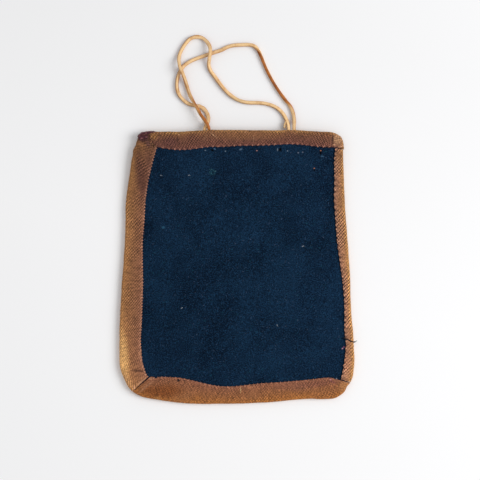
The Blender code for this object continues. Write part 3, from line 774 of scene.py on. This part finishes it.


# one look for each strip; ribs are cycles a metre across and along, then the weight of each set
# foldShade is painted shade along creases, folds and seams; foldHighlight is a painted highlight along fold edges and
# crease ridges
purple, foldHighlight, foldShade = (78, 45, 45), (190, 140, 108), (58, 34, 28)
bindingLooks = {
    "left_strip": {
        "across": [(0.0, (178, 126, 76)), (1.0, (154, 106, 82)), (0.16, (158, 109, 68)), (0.5, (137, 92, 62)),
                   (0.86, (132, 87, 64))],
        "wear": 0.35, "worn": (160, 108, 66), "ribs": (330, 258, 0.6, 0.45), "paintedRibShade": 0.75, "fleck": 0.6,
        "ribPlaces": [((-102.6, 111), (7, 9), 0.8), ((-112, 95), (7, 50), -0.6), ((-108, -70), (20, 60), 0.35)],
        "streaks": 300, "fallingBelow": 0.1, "hem": (178, 126, 106),
        "levels": [("Y", 50, 120, 1, 0.70), ("Y", -30, -110, 1, 1.28)],
        "patches": [
            ((-121, -96), (8, 38), 4, (206, 158, 100), 0.8), ((-118, -122), (7, 12), 30, (172, 128, 86), 0.7),
            ((-98.5, 137.6), (10, 7), 10, purple, 1.0), ((-97.5, 141.3), (8.5, 4.5), 10, purple, 1.0),
            ((-93.5, 131.5), (3.5, 5.5), 20, (104, 68, 66), 0.7),
            ((-91, 95), (6, 42), 8, (104, 64, 60), 0.4), ((-104.5, -111.0), (9, 1.9), -5, foldShade, 0.75),
            ((-108.5, -129.5), (1.5, 4.0), 15, foldHighlight, 0.8),
            ((-101, -122.4), (9, 1.1), 41, foldHighlight, 0.7), ((-101, 97), (8, 42), 8, (88, 52, 48), 0.65),
            ((-89.0, 132.2), (1.6, 1.8), 20, foldHighlight, 0.9), ((-85.6, 129.0), (1.4, 1.4), 20, foldHighlight, 0.9),
            ((-88.0, 128.6), (3.2, 0.9), -58, foldShade, 0.8), ((-109, 129.0), (1.6, 3.2), 20, foldHighlight, 0.5)],
    },
    "mouth_strip_back": {
        "across": [(0.0, (192, 146, 80)), (1.0, (112, 68, 58)), (0.058, (164, 120, 70)), (0.11, (127, 85, 55)),
                   (0.4, (108, 70, 52)), (0.8, (100, 62, 51))],
        "wear": 0.3, "worn": (118, 80, 56), "ribs": (290, 320, 0.55, 0.5), "paintedRibShade": 0.8, "fleck": 0.8,
        "ribPlaces": [((91, 136.5), (9, 10), 0.6), ((-46, 136), (7, 9), 0.5), ((20, 137), (40, 9), -0.25)],
        "streaks": 420, "fallingBelow": 1.0, "hem": (172, 120, 102), "levels": [],
        "patches": [
            ((109, 137), (7, 9), 0, (176, 134, 100), 0.8), ((103.2, 137), (1.0, 8.5), 0, foldShade, 0.9),
            ((105.5, 130.3), (2.4, 1.6), 0, foldHighlight, 0.8), ((112.5, 128.8), (5, 1.2), 12, foldHighlight, 0.8),
            ((-87.5, 140), (5, 6), 0, (150, 104, 62), 0.8), ((-70, 134), (13, 8), 0, purple, 0.55),
            ((-32.5, 138.5), (6.5, 0.6), 57, (160, 120, 92), 0.5),
            # the pale line at -23.5, 140.4 is a painted highlight along the crease ridge there
            ((-23.5, 140.4), (6.2, 0.6), -38, (180, 140, 108), 0.8),
            ((18.7, 136.6), (0.8, 4.2), 0, foldHighlight, 0.6), ((14.4, 145.2), (1.5, 1.2), 0, foldShade, 0.9),
            ((10.4, 143.8), (1.3, 0.9), 0, foldHighlight, 0.9), ((-62.5, 137.3), (0.9, 6), 2, foldShade, 0.8),
            ((-60.5, 140.9), (1.2, 1.0), 0, foldHighlight, 0.8), ((-80.5, 140.6), (1.3, 1.2), 0, foldShade, 0.9),
            ((70.7, 139), (1.8, 1.5), 0, foldShade, 0.9),
            ((12, 140), (50, 6), 0, (130, 88, 58), 0.5), ((-45, 136), (12, 9), 0, (92, 56, 46), 0.45)],
    },
    "mouth_strip_front": {
        "across": [(0.0, (140, 94, 46)), (1.0, (120, 78, 60)), (0.4, (112, 74, 52))],
        "wear": 0.3, "worn": (128, 86, 58), "ribs": (270, 300, 0.55, 0.55), "paintedRibShade": 0.6, "fleck": 0.6,
        "ribPlaces": [],
        "streaks": 420, "fallingBelow": 1.0, "hem": (186, 134, 112), "levels": [], "patches": [],
    },
    "right_strip": {
        "across": [(0.0, (200, 146, 88)), (1.0, (178, 126, 102)), (0.12, (190, 136, 84)), (0.3, (178, 124, 84)),
                   (0.75, (172, 120, 92))],
        "wear": 0.3, "worn": (190, 138, 96), "ribs": (320, 272, 0.7, 0.5), "paintedRibShade": 0.95, "fleck": 0.8,
        "ribPlaces": [((110, 106), (9, 11), 0.5), ((110, 121), (9, 6), -0.6), ((111, 82), (9, 18), -0.35)],
        "streaks": 300, "fallingBelow": 0.7, "hem": (200, 152, 126), "levels": [("Y", -100, 100, 0.86, 0.66)],
        "patches": [
            ((110, 118), (7, 9), 0, (140, 96, 62), 0.6), ((114, -121), (3, 1.3), -10, foldShade, 0.7),
            ((117, -95), (3.5, 22), 0, (190, 126, 92), 0.5), ((110.5, 60), (4, 30), 0, (150, 104, 66), 0.5)],
    },
    "base_strip": {
        "across": [(0.0, (180, 114, 50)), (1.0, (142, 90, 68)), (0.12, (154, 96, 50)), (0.35, (142, 90, 54)),
                   (0.8, (136, 86, 60))],
        "wear": 0.3, "worn": (158, 106, 66), "ribs": (270, 290, 0.5, 0.45), "paintedRibShade": 0.5, "fleck": 0.75,
        "ribPlaces": [],
        "streaks": 360, "fallingBelow": 1.0, "hem": (184, 132, 108), "levels": [],
        "patches": [
            # the dark line at 103.5, -122.8 is painted shade in the crease there
            ((116, -128), (8, 8), 40, (172, 120, 76), 0.6), ((103.5, -122.8), (5, 1.1), -25, (96, 50, 52), 0.8),
            ((101.2, -120.4), (1.6, 1.1), -30, (214, 140, 140), 0.9),
            ((118.5, -123.6), (4.5, 0.8), -17, foldHighlight, 0.7), ((-94, -131), (7, 5), 20, (126, 70, 34), 0.55),
            ((-84, -140.5), (5, 3), 0, (190, 136, 82), 0.5), ((-54.5, -121.4), (1.4, 1.2), 0, foldShade, 0.9),
            ((-97, -129), (14, 1.6), 40, foldHighlight, 0.35), ((-78, -133), (28, 10), 4, (116, 62, 26), 0.8),
            # the near black spot at -61.3, -121.0 is painted shade in the dip there
            ((-61.3, -121.0), (2.5, 2.0), 0, (24, 16, 22), 1.0), ((60, -128), (30, 6), 0, (124, 80, 66), 0.4),
            ((88, -124.5), (24, 5), 4, (110, 66, 58), 0.45),
            ((5.1, -131), (0.8, 5.2), 0, (206, 168, 118), 0.7),
            ((-91, -119), (3, 2), 0, foldHighlight, 0.5)],
    },
}
innerEdges = {}
for stripName, look in bindingLooks.items():
    cloth = bindingMaterial(stripName + "_cloth", look)
    innerEdges[stripName] = bindingStrip(stripName, bindings[stripName], cloth)
print("bindings folded")


# wool panel; a hole or a mark has its middle, reach and turn
shownStrips = ("left_strip", "mouth_strip_back", "right_strip", "base_strip")  # clockwise
wool = {
    "cell": 2.3, "inset": 2.7, "wave": 0.30, "pill": 0.14, "pull": 0.15, "calm": (4, 16),
    "holeReach": 4.2, "holeCuts": 4, "holeDepth": 0.85, "holeRim": 0.18, "holeShadeSize": 1.2,
    "holes": [(-25.1, 124.4, 1.9, 1.25, -28), (47.2, 125.2, 1.7, 2.4, 0), (90.2, 121.9, 1.2, 2.1, 8),
              (83.7, 103.5, 1.0, 1.2, 0)],
    "lint": [(-80.1, 97.8), (-50.2, 97.8), (107.6, -119.4), (44, -62), (-58, -44), (71, 22)],
    "pinkSpecks": [(90.6, 124.2), (83.7, 105.3)],
    "marks": [
        ((44.4, 125.2), (0.9, 2.3), 0, (104, 118, 132), 0.8), ((-22.6, 125.9), (1.8, 0.9), -30, (84, 112, 142), 0.8),
        ((5.2, 125.5), (2.4, 1.3), 20, (84, 106, 128), 0.8), ((-32.6, 124.4), (1.1, 0.8), 0, (112, 128, 142), 0.8),
        ((-11.1, 123.5), (1.0, 0.8), 0, (112, 128, 142), 0.8), ((55.1, 123.8), (1.0, 0.8), 0, (112, 128, 142), 0.8),
        ((22.4, 124.1), (1.2, 0.8), 0, (172, 128, 122), 0.8), ((66.5, 121.9), (1.2, 1.0), 0, (112, 118, 134), 0.7),
        ((71.3, 122.4), (1.1, 1.0), 0, (112, 118, 134), 0.6), ((92.4, 118.1), (2.6, 1.2), 0, (58, 88, 116), 0.7),
        ((-25.0, 101.0), (4.6, 4.0), 30, (26, 66, 84), 0.5),
        ((-24.4, 101.0), (1.5, 1.5), 0, (6, 18, 34), 0.9), ((-77.5, 42.2), (2.4, 1.9), 0, (48, 92, 120), 0.6),
        ((114.0, -87.3), (1.2, 1.0), 30, (190, 140, 160), 0.8),
        ((115.6, -85.8), (1.0, 1.2), 30, (150, 80, 110), 0.7)],
}


def wholeEdge(kind):
    return [point for key in shownStrips for point in inMetres(bindings[key][kind])]


def insetLoop(loop, depth):
    result = []
    for before, point, after in zip(loop[-1:] + loop, loop, loop[1:] + loop[:1]):
        along = (after - before).normalized()
        result.append(point + Vector((along.y, -along.x)) * depth)
    return result


# a flat panel inside the bindings, cut into cells
def roundPanel(name, cell):
    edge = insetLoop(wholeEdge("outer"), wool["inset"] * mm)
    bm = bmesh.new()
    bm.faces.new([bm.verts.new((p.x, p.y, 0)) for p in reversed(edge)])
    for axis in (0, 1):
        low = min(p[axis] for p in edge)
        high = max(p[axis] for p in edge)
        count = math.ceil((high - low) / (cell * mm))
        normal = Vector((0, 0, 0))
        normal[axis] = 1
        for i in range(1, count):
            where = normal * (low + (high - low) * i / count)
            bmesh.ops.bisect_plane(bm, geom=bm.verts[:] + bm.edges[:] + bm.faces[:], plane_co=where, plane_no=normal)
    bmesh.ops.remove_doubles(bm, verts=bm.verts, dist=0.02 * mm)
    piece = plainMesh(name, [], [])
    bm.to_mesh(piece.data)
    bm.free()
    return piece


# the edge of the wool that shows, where the bindings end
fieldEdge = np.array([tuple(p) for p in wholeEdge("inner")])


def fromField(x, y):
    return math.sqrt(((fieldEdge - (x, y)) ** 2).sum(1).min())


def woolSurface(x, y):
    inside = smoothStep(fromField(x, y), wool["calm"][0] * mm, wool["calm"][1] * mm)
    wave = uneven(x * 42, y * 42, 1.7) * wool["wave"] + uneven(x * 150, y * 150, 4) * wool["pill"]
    return woolTop(x, y) + (wave * inside - wool["pull"] * (1 - inside)) * mm


# the raised rim and the sunk middle of the holes
def holeLift(x, y):
    lift = 0.0
    for holeX, holeY, halfWide, halfTall, lean in wool["holes"]:
        away = Vector((x, y)) / mm - Vector((holeX, holeY))
        away.rotate(Matrix.Rotation(-math.radians(lean), 2))
        far = math.hypot(away.x / halfWide, away.y / halfTall)
        if far < 2:
            lift += wool["holeRim"] * math.exp(-((far - 1.25) / 0.3) ** 2)
            lift -= wool["holeDepth"] * (1 - smoothStep(far, 0.35, 1.0))
    return lift * mm


def woolPanel():
    piece = roundPanel("wool_panel", wool["cell"])
    selectOnly(piece)
    bpy.ops.object.mode_set(mode="EDIT")
    bpy.ops.mesh.select_mode(type="FACE")
    bpy.ops.mesh.select_all(action="DESELECT")
    bpy.ops.object.mode_set(mode="OBJECT")
    for face in piece.data.polygons:
        for x, y, *_ in wool["holes"]:
            if (face.center.xy - Vector((x, y)) * mm).length < wool["holeReach"] * mm:
                face.select = True
    bpy.ops.object.mode_set(mode="EDIT")
    bpy.ops.mesh.subdivide(number_cuts=wool["holeCuts"])
    bpy.ops.object.mode_set(mode="OBJECT")
    for vert in piece.data.vertices:
        vert.co.z = woolSurface(vert.co.x, vert.co.y) + holeLift(vert.co.x, vert.co.y)
    thicken(piece, form["woolThick"])
    dress(piece, woolMaterial(), 70, "back_panel")


def woolMaterial():
    made = newMaterial("napped_wool", 0.95, 0.06, 0.05, (70, 110, 140), 0.6)
    place = objectPlace(made)
    raised = noiseOf(made, place, 860, 2, 0.8)
    dust = noiseOf(made, place, 520, 2, 0.6)
    thread = noiseOf(made, place, 260, 2, 0.5, (1, 3.2, 1), 0.1)
    colour = rampOf(made, noiseOf(made, place, 26, 4, 0.6), [(0.35, (4, 20, 38)), (0.65, (15, 39, 62))])
    flecks = [(raised, 0.50, 0.36, 0.85, (2, 9, 22)), (raised, 0.52, 0.68, 0.85, (28, 60, 90)),
              (dust, 0.66, 0.74, 0.7, (66, 80, 104)), (thread, 0.66, 0.78, 0.6, (26, 78, 94))]
    for pattern, low, high, most, shade in flecks:
        colour = blendOf(made, spread(made, pattern, low, high, 0, most), colour, tone(*shade))
    patches = list(wool["marks"])
    # the holes are painted near black: painted shade for the dark inside of the bag
    for x, y, halfWide, halfTall, lean in wool["holes"]:
        patches.append(((x, y), (halfWide * wool["holeShadeSize"], halfTall * wool["holeShadeSize"]), lean, (2, 3, 6), 1.0))
    patches += [(middle, (1.0, 0.8), 0, (190, 118, 78), 0.8) for middle in wool["pinkSpecks"]]
    patches += [(middle, (1.0, 0.9), 0, (150, 160, 172), 0.5) for middle in wool["lint"]]
    height = sums(made, "MULTIPLY_ADD", dust, 0.5, raised)
    return finishMaterial(made, painted(made, place, colour, patches), height, 0.0006, 0.9)


woolPanel()
print("wool panel laid")


# the nap: short fibres that stand out of the wool, a teal tuft and specks of lint
nap = {
    "fibres": 1700, "length": (1.0, 2.6), "curl": 1.6, "sides": 3, "taper": 0.4,
    "field": ((-0.1, 0.115), (-0.124, 0.127)), "fromLeft": 0.027, "fromRight": 0.016, "fromHem": 3,
    "tuft": 17, "tuftMiddle": (-0.025, 0.101), "tuftReach": (0.0031, 0.0026), "tuftTurn": 0.37,
    "kinds": {
        "wool_fibres": ("loose_wool", 0.055, 0.55, (14, 34, 54), (58, 84, 104)),
        "wool_tuft": ("teal_wool", 0.11, 0.6, (30, 84, 98), (96, 140, 146)),
        "lint_specks": ("pale_lint", 0.16, 0.5, (150, 158, 168), (214, 214, 214)),
    },
}


def fibrePoints(x, y, length, lift):
    heading = chance.uniform(0, 2 * math.pi)
    curl = chance.uniform(-nap["curl"], nap["curl"])
    points = []
    for step in range(4):
        share = step / 3
        turn = heading + curl * share
        px = x + math.cos(turn) * length * share
        py = y + math.sin(turn) * length * share
        points.append(Vector((px, py, woolTop(px, py) + lift * math.sin(math.pi * (0.15 + 0.8 * share)))))
    return points


def napFibres(name, spots):
    finishName, radius, lift, low, high = nap["kinds"][name]
    verts, faces = [], []
    for x, y in spots:
        points = fibrePoints(x, y, chance.uniform(*nap["length"]) * mm, lift * mm * chance.uniform(0.5, 1))
        addThread(verts, faces, points, radius * mm, nap["sides"], nap["taper"])
    finish = cloudyFinish(finishName, (0.9, 0.2), (90, 2), [(0.3, low), (0.7, high)], (900, 2), (0.0001, 0.5))
    dress(plainMesh(name, verts, faces), finish)


fibreSpots = []
while len(fibreSpots) < nap["fibres"]:
    x, y = (chance.uniform(*limits) for limits in nap["field"])
    left, right = leftX(y + form["middleY"]) + nap["fromLeft"], rightX(y + form["middleY"]) - nap["fromRight"]
    if left < x < right and fromField(x, y) > nap["fromHem"] * mm:
        fibreSpots.append((x, y))
tuftSpots = []
for k in range(nap["tuft"]):
    a = k * nap["tuftTurn"]
    tuftSpots.append((nap["tuftMiddle"][0] + nap["tuftReach"][0] * math.cos(a),
                      nap["tuftMiddle"][1] + nap["tuftReach"][1] * math.sin(a)))
napFibres("wool_fibres", fibreSpots)
napFibres("wool_tuft", tuftSpots)
napFibres("lint_specks", [(x * mm, y * mm) for x, y in wool["lint"]])
print("nap raised")


# overcast stitches along the inner edges
stitches = {
    "radius": 0.33, "unevenRadius": (0.85, 1.2), "sides": 5, "taper": 0.6, "reach": 1.5, "unevenReach": (-0.35, 0.35),
    "past": 0.4, "unevenPast": (-0.2, 0.25), "slant": 0.5, "unevenSlant": (-0.25, 0.25),
    "rise": 0.16, "bury": 0.1, "search": 0.15, "least": 0.45, "apart": 1.2, "fromEnd": 1.0,
}


# the thread of one stitch, from the binding down into the wool
def stitchPoints(middle, along):
    out = Vector((-along.y, along.x))
    slant = stitches["slant"] + chance.uniform(*stitches["unevenSlant"])
    reach = (stitches["reach"] + chance.uniform(*stitches["unevenReach"])) * mm
    past = (stitches["past"] + chance.uniform(*stitches["unevenPast"])) * mm
    points = []
    for share in (0, 0.3, 0.55, 0.75, 1):
        flat = middle + out * (reach - (reach + past) * share) + along * slant * mm * (0.5 - share)
        onCloth = heights["overWool"](flat.x, flat.y) + bindings["lift"] * mm
        onWool = woolTop(flat.x, flat.y)
        z = onCloth + (onWool - onCloth) * smoothStep(share, 0.45, 0.95)
        z += stitches["rise"] * mm * math.sin(math.pi * min(share * 1.2, 1))
        points.append(Vector((flat.x, flat.y, z - (stitches["bury"] * mm if share in (0, 1) else 0))))
    return points


def overcastStitches():
    verts, faces = [], []
    step = stitches["search"] * mm
    for key in shownStrips:
        line = innerEdges[key]
        walked = walkedAlong(line)
        place = stitches["apart"] * mm
        while place < walked[-1] - stitches["fromEnd"] * mm:
            place += step
            wave = [stitchWave(place + k * step, bindings[key]["stitchGap"] * mm, seedOf(key)) for k in (-1, 0, 1)]
            if wave[1] < stitches["least"] or wave[1] < max(wave):
                continue
            i = next(k for k, w in enumerate(walked) if w >= place)
            i = max(min(i, len(line) - 2), 1)
            points = stitchPoints(line[i], (line[i + 1] - line[i - 1]).normalized())
            radius = stitches["radius"] * mm * chance.uniform(*stitches["unevenRadius"])
            addThread(verts, faces, points, radius, stitches["sides"], stitches["taper"])
            place += stitches["apart"] * mm
    stops = [(0.3, (132, 86, 72)), (0.7, (206, 156, 134)), (0.52, (176, 126, 106))]
    finish = cloudyFinish("sewing_thread", (0.7, 0.3), (140, 2), stops, (2600, 2), (0.0001, 0.6))
    dress(plainMesh("overcast_stitches", verts, faces), finish)


overcastStitches()


# the loose thread on the right binding, with its worn pale tip
looseThread = {
    "points": [(115.4, -74.8, 0.3), (117.3, -77.1, 0.9), (119.2, -77.6, 1.0), (121.0, -78.2, 1.0),
               (122.6, -79.2, 1.0),
               (124.2, -79.9, 0.9), (126.0, -80.3, 0.5), (127.9, -80.1, -0.5), (129.8, -79.0, -1.2)],
    "radius": 0.66, "steps": 26, "sides": 8, "taper": 0.6, "clothEnd": 125,
    "tip": ((129.4, -79.6), (2.3, 2.3), 0, (176, 186, 184), 1.0),
}


def layLooseThread():
    route = []
    for x, y, lift in looseThread["points"]:
        onCloth = heights["overWool"](min(x, looseThread["clothEnd"]) * mm, y * mm)
        route.append(Vector((x * mm, y * mm, onCloth + lift * mm)))
    verts, faces = [], []
    line = evenLine(route, looseThread["steps"])
    addThread(verts, faces, line, looseThread["radius"] * mm, looseThread["sides"], looseThread["taper"])
    twist, stops = (1500, 2), [(0.3, (12, 8, 10)), (0.7, (36, 26, 28))]
    finish = cloudyFinish("loose_thread", (0.75, 0.25), twist, stops, twist, (0.0002, 0.7), (), [looseThread["tip"]])
    dress(plainMesh("loose_thread", verts, faces), finish)


layLooseThread()


# the frayed end of the left strip, rolled in at the top left corner
fray = {
    "rolls": [
        [(-104.2, 138.2, -1.2), (-103.0, 140.2, -0.2), (-100.6, 141.9, 0.3), (-96.4, 143.0, 0.5), (-91.4, 143.9, 0.5),
         (-85.6, 144.3, -0.1)],
        [(-103.9, 136.8, 0.0), (-100.8, 138.2, 0.4), (-97.2, 138.9, 0.4), (-93.4, 139.0, -0.1)],
    ],
    "radius": (1.7, 1.9), "steps": 30, "sides": 10, "sunk": 0.45, "lumps": 0.38, "thinner": 0.7, "clothEnd": 142,
    "threads": 24, "threadStart": (-104.0, 139.4), "threadSpan": (15, 5), "threadRadius": 0.16, "threadSag": 0.12,
    # a painted highlight along the rolled fold
    "pale": ((-96.5, 141.0), (4.5, 0.8), 8, foldHighlight, 0.8),
}


def frayedRoll():
    verts, faces = [], []
    sides, steps = fray["sides"], fray["steps"]
    for route, radius in zip(fray["rolls"], fray["radius"]):
        points = []
        for x, y, lift in route:
            onCloth = heights["overWool"](x * mm, min(y, fray["clothEnd"]) * mm)
            points.append(Vector((x * mm, y * mm, onCloth + (lift - radius * fray["sunk"]) * mm)))
        line = evenLine(points, steps)
        ring = threadTube(line, radius * mm, sides, 0.35)
        for k, vert in enumerate(ring):
            centre = line[k // sides]
            thinner = 1 - fray["thinner"] * (k / len(ring)) ** 3
            ring[k] = centre + (vert - centre) * (1 + fray["lumps"] * noise.noise(vert * 700)) * thinner
        faces += tubeFaces(steps + 1, sides, len(verts))
        verts += ring
    for _ in range(fray["threads"]):
        share = chance.random()
        x = (fray["threadStart"][0] + fray["threadSpan"][0] * share) * mm
        y = (fray["threadStart"][1] + fray["threadSpan"][1] * math.sqrt(share)) * mm
        onCloth = heights["overWool"](x, fray["clothEnd"] * mm)
        start = Vector((x, y, onCloth + chance.uniform(-0.6, 0.3) * mm))
        push = Vector((chance.uniform(-0.6, 0.5), chance.uniform(0.05, 0.5), chance.uniform(-0.1, 0.4))) * mm
        points = [start + push * k - Vector((0, 0, fray["threadSag"] * mm * k * k)) for k in range(4)]
        addThread(verts, faces, points, fray["threadRadius"] * mm, 4, 0.5)
    surface = (0.9, 0.15, 0.2, (200, 160, 150), 0.5)
    stops = [(0.34, (56, 28, 36)), (0.72, (150, 104, 100)), (0.54, (86, 48, 54))]
    finish = cloudyFinish("frayed_cloth", surface, (420, 3, 0.6), stops, (1500, 2), (0.0003, 0.9), (), [fray["pale"]])
    dress(plainMesh("frayed_corner", verts, faces), finish)


frayedRoll()
print("stitches, thread and fray sewn")

# hide front, seen in the mouth and between the bead rows
hideFront = {"cell": 4.0, "ripple": 0.10, "mostRipple": 0.05, "thickness": 0.95}


def hidePanel():
    piece = roundPanel("hide_panel", hideFront["cell"])
    for vert in piece.data.vertices:
        ripple = uneven(vert.co.x * 70, vert.co.y * 70, 9) * hideFront["ripple"]
        vert.co.z = form["hideTop"] + min(ripple, hideFront["mostRipple"]) * mm
    thicken(piece, hideFront["thickness"] * mm)
    surface = (0.78, 0.25, 0.2, (255, 220, 180), 0.5)
    pores = (900, 3, 0.7)
    finish = cloudyFinish("tanned_hide", surface, (30, 3), [(0.3, (176, 132, 84)), (0.7, (214, 172, 122))],
                          pores, (0.0003, 0.8), [(pores, 0.55, 0.75, 0.4, (140, 98, 58))])
    dress(piece, finish, 60, "front_panel")


hidePanel()
print("hide panel laid")

# seed beads on the face that the bag lies on, in plain rows; the profile is place and width along a bead
beads = {
    "row": 2.2, "gap": 1.62, "length": 1.45, "halfWide": 1.0, "halfTall": 0.86, "sides": 6, "parts": 4,
    "profile": [(-0.5, 0.58), (-0.24, 1.0), (0.24, 1.0), (0.5, 0.58)], "unevenSize": (0.93, 1.0),
    "unevenLength": (0.88, 1.05), "inset": 0.6, "rowReach": 0.8, "fromEdge": 0.1, "room": 0.9, "offTable": 0.03,
}


# where a level line crosses a closed edge
def crossings(y, loop):
    return [(b.x - a.x) * (y - a.y) / (b.y - a.y) + a.x
            for a, b in zip(loop, loop[1:] + loop[:1]) if (a.y > y) != (b.y > y)]


def insidePolygon(x, y, loop):
    return sum(x < crossing for crossing in crossings(y, loop)) % 2 == 1


def beadSpots():
    low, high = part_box("beadwork")
    loop = insetLoop(wholeEdge("inner"), beads["inset"] * mm)
    reach, edge, room = (beads[key] * mm for key in ("rowReach", "fromEdge", "room"))
    rowCount = round((high.y - low.y) / (beads["row"] * mm))
    spots = []
    for row in range(rowCount):
        y = low.y + (row + 0.5) * (high.y - low.y) / rowCount
        upper = crossings(min(y + reach, high.y - edge), loop)
        lower = crossings(max(y - reach, low.y + edge), loop)
        if not upper or not lower:
            continue
        start, end = max(min(upper), min(lower)), min(max(upper), max(lower))
        count = int((end - start) / (beads["gap"] * mm))
        for k in range(count):
            x = start + (end - start) * (k + 0.5) / count
            if insidePolygon(x, y + room, loop) and insidePolygon(x, y - room, loop):
                spots.append((x, y))
    return spots


def seedBeads(name, spots, finish):
    verts, faces = [], []
    sides, profile = beads["sides"], beads["profile"]
    for x, y in spots:
        size = chance.uniform(*beads["unevenSize"])
        length = beads["length"] * mm * chance.uniform(*beads["unevenLength"])
        turn = chance.uniform(0, 1)
        faces += tubeFaces(len(profile), sides, len(verts))
        for along, wide in profile:
            halfWide = wide * size * beads["halfWide"] * mm
            halfTall = wide * size * beads["halfTall"] * mm
            for j in range(sides):
                a = 2 * math.pi * (j + turn) / sides
                verts.append((x + along * length, y + math.cos(a) * halfWide,
                              (beads["halfTall"] + beads["offTable"]) * mm + math.sin(a) * halfTall))
    piece = plainMesh(name, verts, faces)
    piece.data.materials.append(finish)
    piece.data.shade_smooth()
    return piece


beadFinish = cloudyFinish(
    "glass_seed_beads", (0.22, 0.5), (480, 0), [(0.35, (206, 200, 184)), (0.65, (226, 222, 208)),
                                                (0.5, (214, 206, 186))],
    (1600, 1), (0.00005, 0.4), [((40, 2), 0.55, 0.75, 0.3, (188, 172, 140))])
allSpots = beadSpots()
share = math.ceil(len(allSpots) / beads["parts"])
for part in range(beads["parts"]):
    beadPiece = seedBeads(f"seed_beads_{part + 1}", allSpots[part * share:(part + 1) * share], beadFinish)
    if part == 0:
        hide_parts("beadwork")
    settle(beadPiece)
print("beads sewn:", len(allSpots))


# floor, white surround and soft light
studio = {
    "floorSize": 8, "near": (250, 250, 251), "far": (244, 244, 245), "slope": 0.3, "fadeReach": 0.28,
    "world": 0.57, "surround": 0.93, "lampPlace": (2.4, 0.1, 1.9), "lampSize": 2.0, "lampPower": 67,
}
bpy.ops.mesh.primitive_plane_add(size=studio["floorSize"], location=(0, 0, 0))
floor = bpy.context.object
floor.name = "floor"
floorFinish = newMaterial("pale_floor", 0.9, 0.0)
floorParts = addNode(floorFinish, "ShaderNodeSeparateXYZ", {0: objectPlace(floorFinish)}).outputs
# the floor colour is painted lighter towards the bottom of the frame and darker towards the top: painted light
# falloff
slope = sums(floorFinish, "MULTIPLY_ADD", floorParts["X"], studio["slope"], floorParts["Y"])
fade = spread(floorFinish, slope, 0, studio["fadeReach"])
floorColour = blendOf(floorFinish, fade, tone(*studio["near"]), tone(*studio["far"]))
join(floorFinish, floorColour, floorFinish.node_tree.nodes["Principled BSDF"].inputs["Base Color"])
floor.data.materials.append(floorFinish)

# the camera, gloss and glass see the surround; everything else gets the world's own light
world = bpy.data.worlds.new("studio")
bpy.context.scene.world = world
world.use_nodes = True
backdrop = world.node_tree.nodes["Background"]
backdrop.inputs["Color"].default_value = (1, 1, 1, 1)
rays = addNode(world, "ShaderNodeLightPath").outputs
seen = rays["Is Camera Ray"]
for kind in ("Is Glossy Ray", "Is Transmission Ray"):
    seen = sums(world, "MAXIMUM", seen, rays[kind])
join(world, spread(world, seen, 0, 1, studio["world"], studio["surround"]), backdrop.inputs["Strength"])

bpy.ops.object.light_add(type="AREA", location=studio["lampPlace"])
lamp = bpy.context.object
lamp.data.shape = "DISK"
lamp.data.size = studio["lampSize"]
lamp.data.energy = studio["lampPower"]
lamp.rotation_euler = (-Vector(studio["lampPlace"])).to_track_quat("-Z", "Y").to_euler()
print("studio lit")
